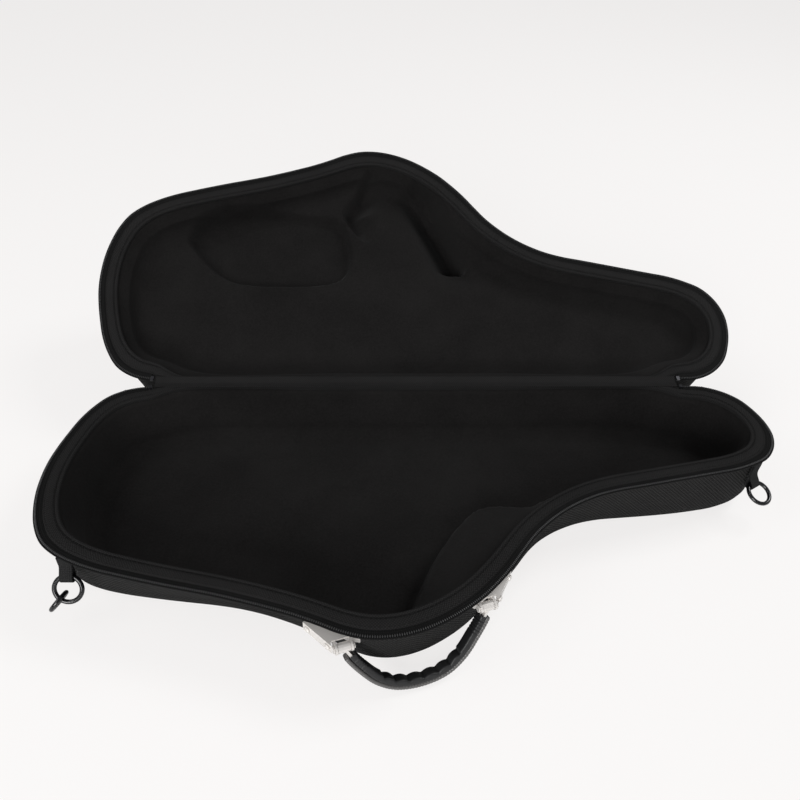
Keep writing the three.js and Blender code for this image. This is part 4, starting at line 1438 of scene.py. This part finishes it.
@dataclass
class HingeStrip:
    """Cloth that joins the two back edges. It sags a little between them."""

    palette: Palette
    lid_place: Matrix
    thickness: float = 0.7
    lap: float = 3.4
    edge_margin: float = 0.6
    sunk: float = 0.2
    sag: float = 1.1
    columns: int = 160

    def build(self) -> None:
        """Build the strip."""
        left = RIM.left[0] + BAG.hinge_end_margin
        right = RIM.right[0] - BAG.hinge_end_margin
        top = BAG.base_depth + self.thickness / 2 - self.sunk
        on_base = [Vector((0, BAG.hinge_y - back, top)) for back in (self.lap, self.edge_margin)]
        mirrored = [Vector((0, p.y, 2 * Vector(BAG.axis).z - p.z)) for p in reversed(on_base)]
        on_lid = [self.lid_place @ p for p in mirrored]
        bridge = [on_base[1].lerp(on_lid[0], share)
                  - Vector((0, 0, self.sag * math.sin(share * math.pi)))
                  for share in (0.2, 0.4, 0.6, 0.8)]
        path = spline(np.array([tuple(p) for p in (*on_base, *bridge, *on_lid)]), steps=3)
        along = headings(path)
        normal = np.stack([np.zeros(len(path)), -along[:, 2], along[:, 1]], 1) * self.thickness / 2
        section = np.vstack([path + normal, (path - normal)[::-1]])
        skin = Skin()
        skin.bar(np.array([[(x, *corner[1:]) for x in np.linspace(left, right, self.columns)]
                           for corner in section]))
        item = as_object("hinge_strip", skin, self.palette[Slot.BINDING])
        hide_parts("hinge_cloth")
        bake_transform(item)
        line_length(path) * MM
        LOG.info("hinge_strip: %d faces from base to lid", len(item.data.polygons))


@dataclass
class Handle:
    """Carrying handle: moulded grip and its outer spine."""

    palette: Palette
    bulge: float = 48
    grip_thickness: float = 8.2
    end_thickness: float = 9
    grip_width: float = 9.8
    edge_radius: float = 1.4
    scallop_depth: float = 2
    scallop_count: int = 6
    scallop_fullness: float = 0.8
    arm_share: float = 0.27
    rib_depth: float = 0.35
    rib_pitch: float = 2.6
    rib_start: float = 3
    rib_end: float = 16
    pivot_inset: float = 4.6
    spine_thickness: float = 3.4
    spine_width: float = 9
    spine_rise: float = 0.7
    spine_radius: float = 1.5
    notch_depth: float = 0.3
    notch_pitch: float = 2.4
    notch_level: float = 0.2
    pivot_height: float = 45.8
    ear_radius: float = 4.1
    columns: int = 260
    bow_shares: tuple = ((1, 0), (0.915, 0.21), (0.755, 0.48), (0.57, 0.74), (0.33, 0.93), (0, 1),
                         (-0.36, 0.93), (-0.61, 0.74), (-0.79, 0.48), (-0.93, 0.21), (-1, 0))
    left_pivot_share: tuple = (0.3891, 0.973)
    right_pivot_share: tuple = (0.5530, 0.86)

    def __post_init__(self) -> None:
        """Work out the placement, the bow and the thickness of the grip along it."""
        left, right = (plan(shares) + UP * self.pivot_height
                       for shares in (self.left_pivot_share, self.right_pivot_share))
        axis = unit(right - left)
        half = self.spine_width / 2
        droop = (math.asin((self.pivot_height - BAG.seat_gap) / math.hypot(self.bulge, half))
                 - math.atan2(half, self.bulge))
        down = np.array([axis[1], -axis[0], 0]) * math.cos(droop) - UP * math.sin(droop)
        self.place = placed(axis, down, np.cross(axis, down), (left + right) / 2)
        span = np.linalg.norm(right - left) / 2 + self.pivot_inset
        self.bow = spline(np.array([(a * span, b * self.bulge, 0) for a, b in self.bow_shares]))
        self.length = line_length(self.bow)
        # The grip starts clear of the ears that hold its pins
        self.start = (2 * self.ear_radius + 5 * BAG.seat_gap) / self.length
        self.shares = np.linspace(self.start, 1 - self.start, self.columns)
        raw = np.array([self.thickness(share) for share in self.shares])
        kernel = np.hanning(7) / np.hanning(7).sum()
        self.even = np.convolve(np.pad(raw, 3, mode="edge"), kernel, "valid")

    def thickness(self, share: float) -> float:
        """Thickness of the grip before it is evened out.

        Args:
            share: Share of the bow's length.

        Returns:
            The thickness, with its finger scallops.
        """
        middle = (share - self.arm_share) / (1 - 2 * self.arm_share)
        if 0 <= middle <= 1:
            wave = abs(math.sin(middle * math.pi * self.scallop_count))
            fingers = wave ** self.scallop_fullness
            return self.grip_thickness + self.scallop_depth * (fingers - 0.5)
        return self.end_thickness

    def grip_corners(self, share: float) -> list[tuple]:
        """Section of the grip, ribbed near its ends.

        Args:
            share: Share of the bow's length.

        Returns:
            Its corners by inset and width.
        """
        inner = float(np.interp(share, self.shares, self.even))
        along = share * self.length
        from_end = min(along, self.length - along) - self.start * self.length
        rib = self.rib_depth * max(0, math.sin(along * 2 * math.pi / self.rib_pitch))
        if not self.rib_start < from_end < self.rib_end:
            rib = 0
        return rounded(self.spine_thickness + BAG.seat_gap, inner - rib,
                       self.grip_width / 2 - rib, self.edge_radius, 5)

    def spine_corners(self, share: float) -> list[tuple]:
        """Section of the spine, with small notches along its edges.

        Args:
            share: Share of the bow's length.

        Returns:
            Its corners by inset and width.
        """
        turn = share * self.length * 2 * math.pi / self.notch_pitch
        notch = self.notch_depth * (math.sin(turn) > self.notch_level)
        corners = rounded(0, self.spine_thickness, self.spine_width / 2 - notch,
                          self.spine_radius, 4)
        return [(inset, width + self.spine_rise) for inset, width in corners]

    def sections(self, corners: Callable[[float], list[tuple]]) -> np.ndarray:
        """Rows along the bow.

        Args:
            corners: Function of a share that gives the section's inset and width.

        Returns:
            Array of corners, shares and three coordinates.
        """
        step = 1e-3
        points, ahead, behind = (spaced(self.bow, self.shares + shift) for shift in (0, step, -step))
        rows = []
        for point, front, back, share in zip(points, ahead, behind, self.shares):
            along = unit(front - back)
            inwards = np.array([-along[1], along[0], 0])
            rows.append([point + inwards * inset + UP * width for inset, width in corners(share)])
        return np.array(rows).transpose(1, 0, 2)

    def build(self) -> None:
        """Build the grip and the spine."""
        # The spine's pale material is painted highlight on the handle's outer band
        for part, corners, slot in (("grip", self.grip_corners, Slot.GRIP),
                                    ("spine", self.spine_corners, Slot.SPINE)):
            skin = Skin()
            skin.bar(self.sections(corners))
            item = as_object(f"handle_{part}_rubber", skin, self.palette[slot], self.place,
                             sharp=50)
            settle(item, slot, "handle", f"handle_{part}")


@dataclass
class StrapRing:
    """Webbing tab with its ring, and a link on the left one. Its angles are in degrees."""

    side: str
    half: BagHalf
    palette: Palette
    share: float
    turn: float
    lean: float
    eye_height: float
    link_turn: float | None = None
    tab_width: float = 10
    tab_thickness: float = 3
    ply_gap: float = 0.15
    ply_meet: float = 5.5
    back_start: float = 2
    back_share: float = 0.6
    front_share: float = 0.75
    fold: tuple = (185, 415, 20)
    webbing: float = 1.4
    webbing_radius: float = 0.5
    ring_radius: float = 10.4
    wire: float = 1.8
    link_radius: float = 7.8
    facets: tuple = (72, 18)

    def wall_place(self, depth: float) -> tuple[np.ndarray, np.ndarray]:
        """Find the tab's place on the wall.

        Args:
            depth: Depth below the parting plane.

        Returns:
            The place and the direction out of the wall.
        """
        i, beyond = divmod(self.share * BAG.free_steps, 1)
        upper, lower = (self.half.coarse_wall(level)[int(i):int(i) + 2]
                        for level in (depth, depth + BAG.edge_radius / 2))
        place, low = (edge[0] + (edge[1] - edge[0]) * beyond for edge in (upper, lower))
        along = unit((upper[1] - upper[0]) * (1, 1, 0))
        return place, unit(np.cross(unit(low - place), along))

    def __post_init__(self) -> None:
        """Work out where the eye of the tab and the centre of the ring lie."""
        rise = (self.ring_radius - math.sqrt(self.ring_radius ** 2 - (self.tab_width / 2) ** 2)) / 2
        self.fold_radius = self.wire + rise + 2 * BAG.seat_gap + self.webbing
        place, out = self.wall_place(BAG.seat_depth)
        # The tab hangs straight down, just clear of the wall at the height of its eye
        turn, lean = math.radians(self.turn), math.radians(self.lean)
        self.out = unit(Matrix.Rotation(turn, 3, "Z") @ Vector((out[0], out[1], 0)))
        self.along = np.cross(UP, self.out)
        swing = abs(math.sin(turn)) * self.tab_width / 2
        eye = self.wall_place(BAG.parting_z - self.eye_height)[0]
        reach = max(0, float((place - eye) @ self.out))
        self.eye = eye + self.out * (reach + self.fold_radius + swing + 8 * BAG.seat_gap)
        self.down = self.out * math.sin(lean) - UP * math.cos(lean)
        self.centre = self.eye + self.down * (self.ring_radius - rise)

    def build_tab(self) -> None:
        """Folded webbing: two plies that meet above the ring's eye."""
        length = self.half.height(BAG.rim_gap + BAG.coil_height + BAG.seat_gap) - self.eye[2]
        radius = self.fold_radius - self.webbing / 2
        front = -self.fold_radius + self.tab_thickness - self.webbing / 2 + self.ply_gap
        path = [(-radius, length), (-radius, length * self.back_share), (-radius, self.back_start)]
        path += [(radius * math.cos(a), radius * math.sin(a))
                 for a in (math.radians(turn) for turn in range(*self.fold))]
        path += [(front, radius + self.ply_meet), (front, length * self.front_share),
                 (front, length)]
        line = spline(np.array([(a, b, 0) for a, b in path]), steps=5)[:, :2]
        along = headings(line)
        normal = np.column_stack([-along[:, 1], along[:, 0]])
        half = self.tab_width / 2
        rows = []
        for width, offset in rounded(-half, half, self.webbing / 2, self.webbing_radius, 3):
            flat = line + normal * offset
            rows.append(self.eye + self.out * flat[:, :1] + UP * flat[:, 1:] + self.along * width)
        skin = Skin()
        skin.bar(np.array(rows))
        item = as_object(f"{self.side}_tab_webbing", skin, self.palette[Slot.WEBBING])
        settle(item, Slot.WEBBING, "base", f"{self.side}_webbing_tab")
        line_length(line) * MM

    def build_wire(self, names: tuple[str, str, str], radius: float, x: np.ndarray, y: np.ndarray,
                   centre: np.ndarray) -> None:
        """Ring of round wire.

        Args:
            names: Names of the piece, its CAD node and its body.
            radius: Radius of the wire's middle line.
            x: First direction in the ring's plane.
            y: Second direction in the ring's plane.
            centre: Centre of the ring.
        """
        turns, spins = (np.linspace(0, 2 * math.pi, count + 1)[:-1] for count in self.facets)
        normal = np.cross(x, y)
        skin = Skin()
        skin.rows(np.array([[centre + (x * math.cos(t) + y * math.sin(t))
                             * (radius + self.wire * math.cos(s)) + normal * self.wire * math.sin(s)
                             for t in turns] for s in spins]), wraps=True)
        name, node, body = names
        item = as_object(name, skin, self.palette[Slot.GLOSS], sharp=80)
        settle(item, Slot.GLOSS, body, node)

    def build(self) -> None:
        """Build the tab, the ring and the link."""
        self.build_tab()
        names = (f"{self.side}_ring_gloss", f"{self.side}_strap_ring", f"{self.side}_ring")
        self.build_wire(names, self.ring_radius, self.along, self.down, self.centre)
        if self.link_turn is None:
            return
        # The link hangs on the ring's wire at an angle round it, upright and square to the wire
        cos, sin = math.cos(math.radians(self.link_turn)), math.sin(math.radians(self.link_turn))
        hung = self.centre + (self.down * sin - self.along * cos) * self.ring_radius
        along = unit(self.along * sin + self.down * cos)
        out = unit((along[1], -along[0], 0))
        up = unit(np.cross(along, out))
        up = -up if up[2] < 0 else up
        centre = hung + up * (2 * self.wire + BAG.seat_gap - self.link_radius)
        self.build_wire(("left_link_gloss", "left_ring_link", "ring_link"), self.link_radius, out, up,
                        centre)


@dataclass
class Fittings:
    """Metal pieces that the frame itself carries: they get their finish and eased edges."""

    palette: Palette
    nodes: dict[str, bpy.types.Object]
    ease: float = 0.25
    ease_angle: float = 40

    SLOTS = {"bracket": Slot.BRIGHT, "rivet": Slot.BRIGHT, "pin": Slot.BRIGHT, "tang": Slot.BRIGHT,
             "slider": Slot.DARK, "puller": Slot.DARK, "stop": Slot.DARK}

    def build(self) -> None:
        """Give each carried node its material and eased edges."""
        for name, node in self.nodes.items():
            slots = [self.SLOTS[word] for word in name.split("_") if word in self.SLOTS]
            if not slots:
                continue
            node.data.materials.clear()
            node.data.materials.append(self.palette[slots[-1]])
            bevel = node.modifiers.new("eased", "BEVEL")
            bevel.width = self.ease * MM
            bevel.segments = 2
            bevel.limit_method = "ANGLE"
            bevel.angle_limit = math.radians(self.ease_angle)
            LOG.info("%s: carried, %s", name, slots[-1].value)


@dataclass(frozen=True)
class Lamp:
    """Soft square light: its place and size in metres and its power in watts."""

    name: str
    place: tuple
    size: float
    power: float


@dataclass
class Studio:
    """Camera, pale table and soft light, in metres and radians, with the lens in millimetres."""

    focal: float = 33.75
    sensor: float = 36
    pitch: float = 0.6739
    yaw: float = 0.0741
    roll: float = 0.0439
    eye: tuple = (-0.06204, -0.43547, 0.50857)
    table_reach: float = 14
    table_drop: float = 0.0002
    table_paleness: float = 0.78
    table_colour: tuple = (0.9, 0.895, 0.89, 1)
    table_glow: tuple = (1, 0.982, 0.974, 1)
    sky_strength: float = 0.22
    sky_paleness: float = 0.7
    sky_colour: tuple = (0.93, 0.93, 0.94, 1)
    target: tuple = (0, 0.1, 0)

    LAMPS = (
        Lamp("key", (-0.75, -2, 0.9), size=1.1, power=38),
        Lamp("side", (-1.4, -0.3, 1.4), size=1, power=7),
        Lamp("fill", (1.3, 0.5, 1.7), size=0.8, power=18),
    )

    def build_camera(self) -> None:
        """Camera that sees the bag as the photo does."""
        forward = np.array([math.sin(self.yaw) * math.cos(self.pitch),
                            math.cos(self.yaw) * math.cos(self.pitch), -math.sin(self.pitch)])
        level = np.array([math.cos(self.yaw), -math.sin(self.yaw), 0])
        above = np.cross(level, forward)
        right = math.cos(self.roll) * level + math.sin(self.roll) * above
        up = -math.sin(self.roll) * level + math.cos(self.roll) * above
        data = bpy.data.cameras.new("camera")
        data.lens, data.sensor_width = self.focal, self.sensor
        data.clip_start, data.clip_end = 0.01, 60
        camera = linked("camera", data)
        camera.matrix_world = placed(right, up, -forward, np.array(self.eye))
        bpy.context.scene.camera = camera

    def build_table(self) -> None:
        """Pale table without an edge in view."""
        reach = self.table_reach
        mesh = bpy.data.meshes.new("table")
        mesh.from_pydata([(-reach, -reach, 0), (reach, -reach, 0), (reach, reach, 0),
                          (-reach, reach, 0)], [], [(0, 1, 2, 3)])
        shader = Shader("table")
        shader.finish(Base_Color=self.table_colour, Roughness=0.9, Specular_IOR_Level=0)
        pale = shader.node("ShaderNodeEmission", Color=self.table_glow)
        share = shader.node("ShaderNodeLightPath", "Is Camera Ray") * self.table_paleness
        surface = Val(shader, shader.surface.outputs[0])
        mixed = shader.node("ShaderNodeMixShader", values=(share, surface, pale))
        shader.feed(shader.tree.nodes["Material Output"].inputs["Surface"], mixed)
        mesh.materials.append(shader.material)
        table = linked("table", mesh)
        table.location.z = -self.table_drop

    def build_lamp(self, lamp: Lamp) -> None:
        """Soft square light turned towards the bag.

        Args:
            lamp: Its name, place, size and power.
        """
        data = bpy.data.lights.new(lamp.name, "AREA")
        data.size, data.energy = lamp.size, lamp.power
        light = linked(lamp.name, data)
        light.location = lamp.place
        way = Vector(self.target) - Vector(lamp.place)
        light.rotation_euler = way.to_track_quat("-Z", "Y").to_euler()

    def build_sky(self) -> None:
        """Even light from all sides, paler where the camera sees it."""
        world = bpy.data.worlds.new("studio")
        world.use_nodes = True
        wiring = Wiring(world.node_tree)
        background = world.node_tree.nodes["Background"]
        seen = wiring.node("ShaderNodeLightPath", "Is Camera Ray")
        wiring.feed(background.inputs["Color"], self.sky_colour)
        wiring.feed(background.inputs["Strength"], seen * self.sky_paleness + self.sky_strength)
        bpy.context.scene.world = world

    def build(self) -> None:
        """Build the camera, the table, the lights and the sky."""
        self.build_camera()
        self.build_table()
        for lamp in self.LAMPS:
            self.build_lamp(lamp)
        self.build_sky()
        bpy.context.scene.view_settings.view_transform = "Standard"


BASE = HalfSizes("base", -1, BAG.base_depth, floor_depth=52, wall_run=10, crown_share=0.5)
LID = HalfSizes("lid", 1, BAG.lid_depth, floor_depth=27, wall_run=8, crown_share=1)


def main() -> None:
    """Build the bag round its frame."""
    logging.basicConfig(level=logging.INFO, format="%(name)s: %(message)s")
    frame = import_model()
    palette = Palette()
    beads = RepeatGroup()
    Studio().build()
    base = BaseHalf(BASE, palette, beads)
    base.build()
    closed_lid = LidHalf(LID, palette, beads)
    lid_place = opened(math.pi - open_tilt(closed_lid))
    LidHalf(LID, palette, beads, lid_place).build()
    HingeStrip(palette, lid_place).build()
    Handle(palette).build()
    StrapRing("left", base, palette, share=0.233, turn=28, lean=30, eye_height=44,
              link_turn=52).build()
    StrapRing("right", base, palette, share=0.852, turn=0, lean=66, eye_height=36).build()
    Fittings(palette, frame["nodes"]).build()


if __name__ == "__main__":
    main()
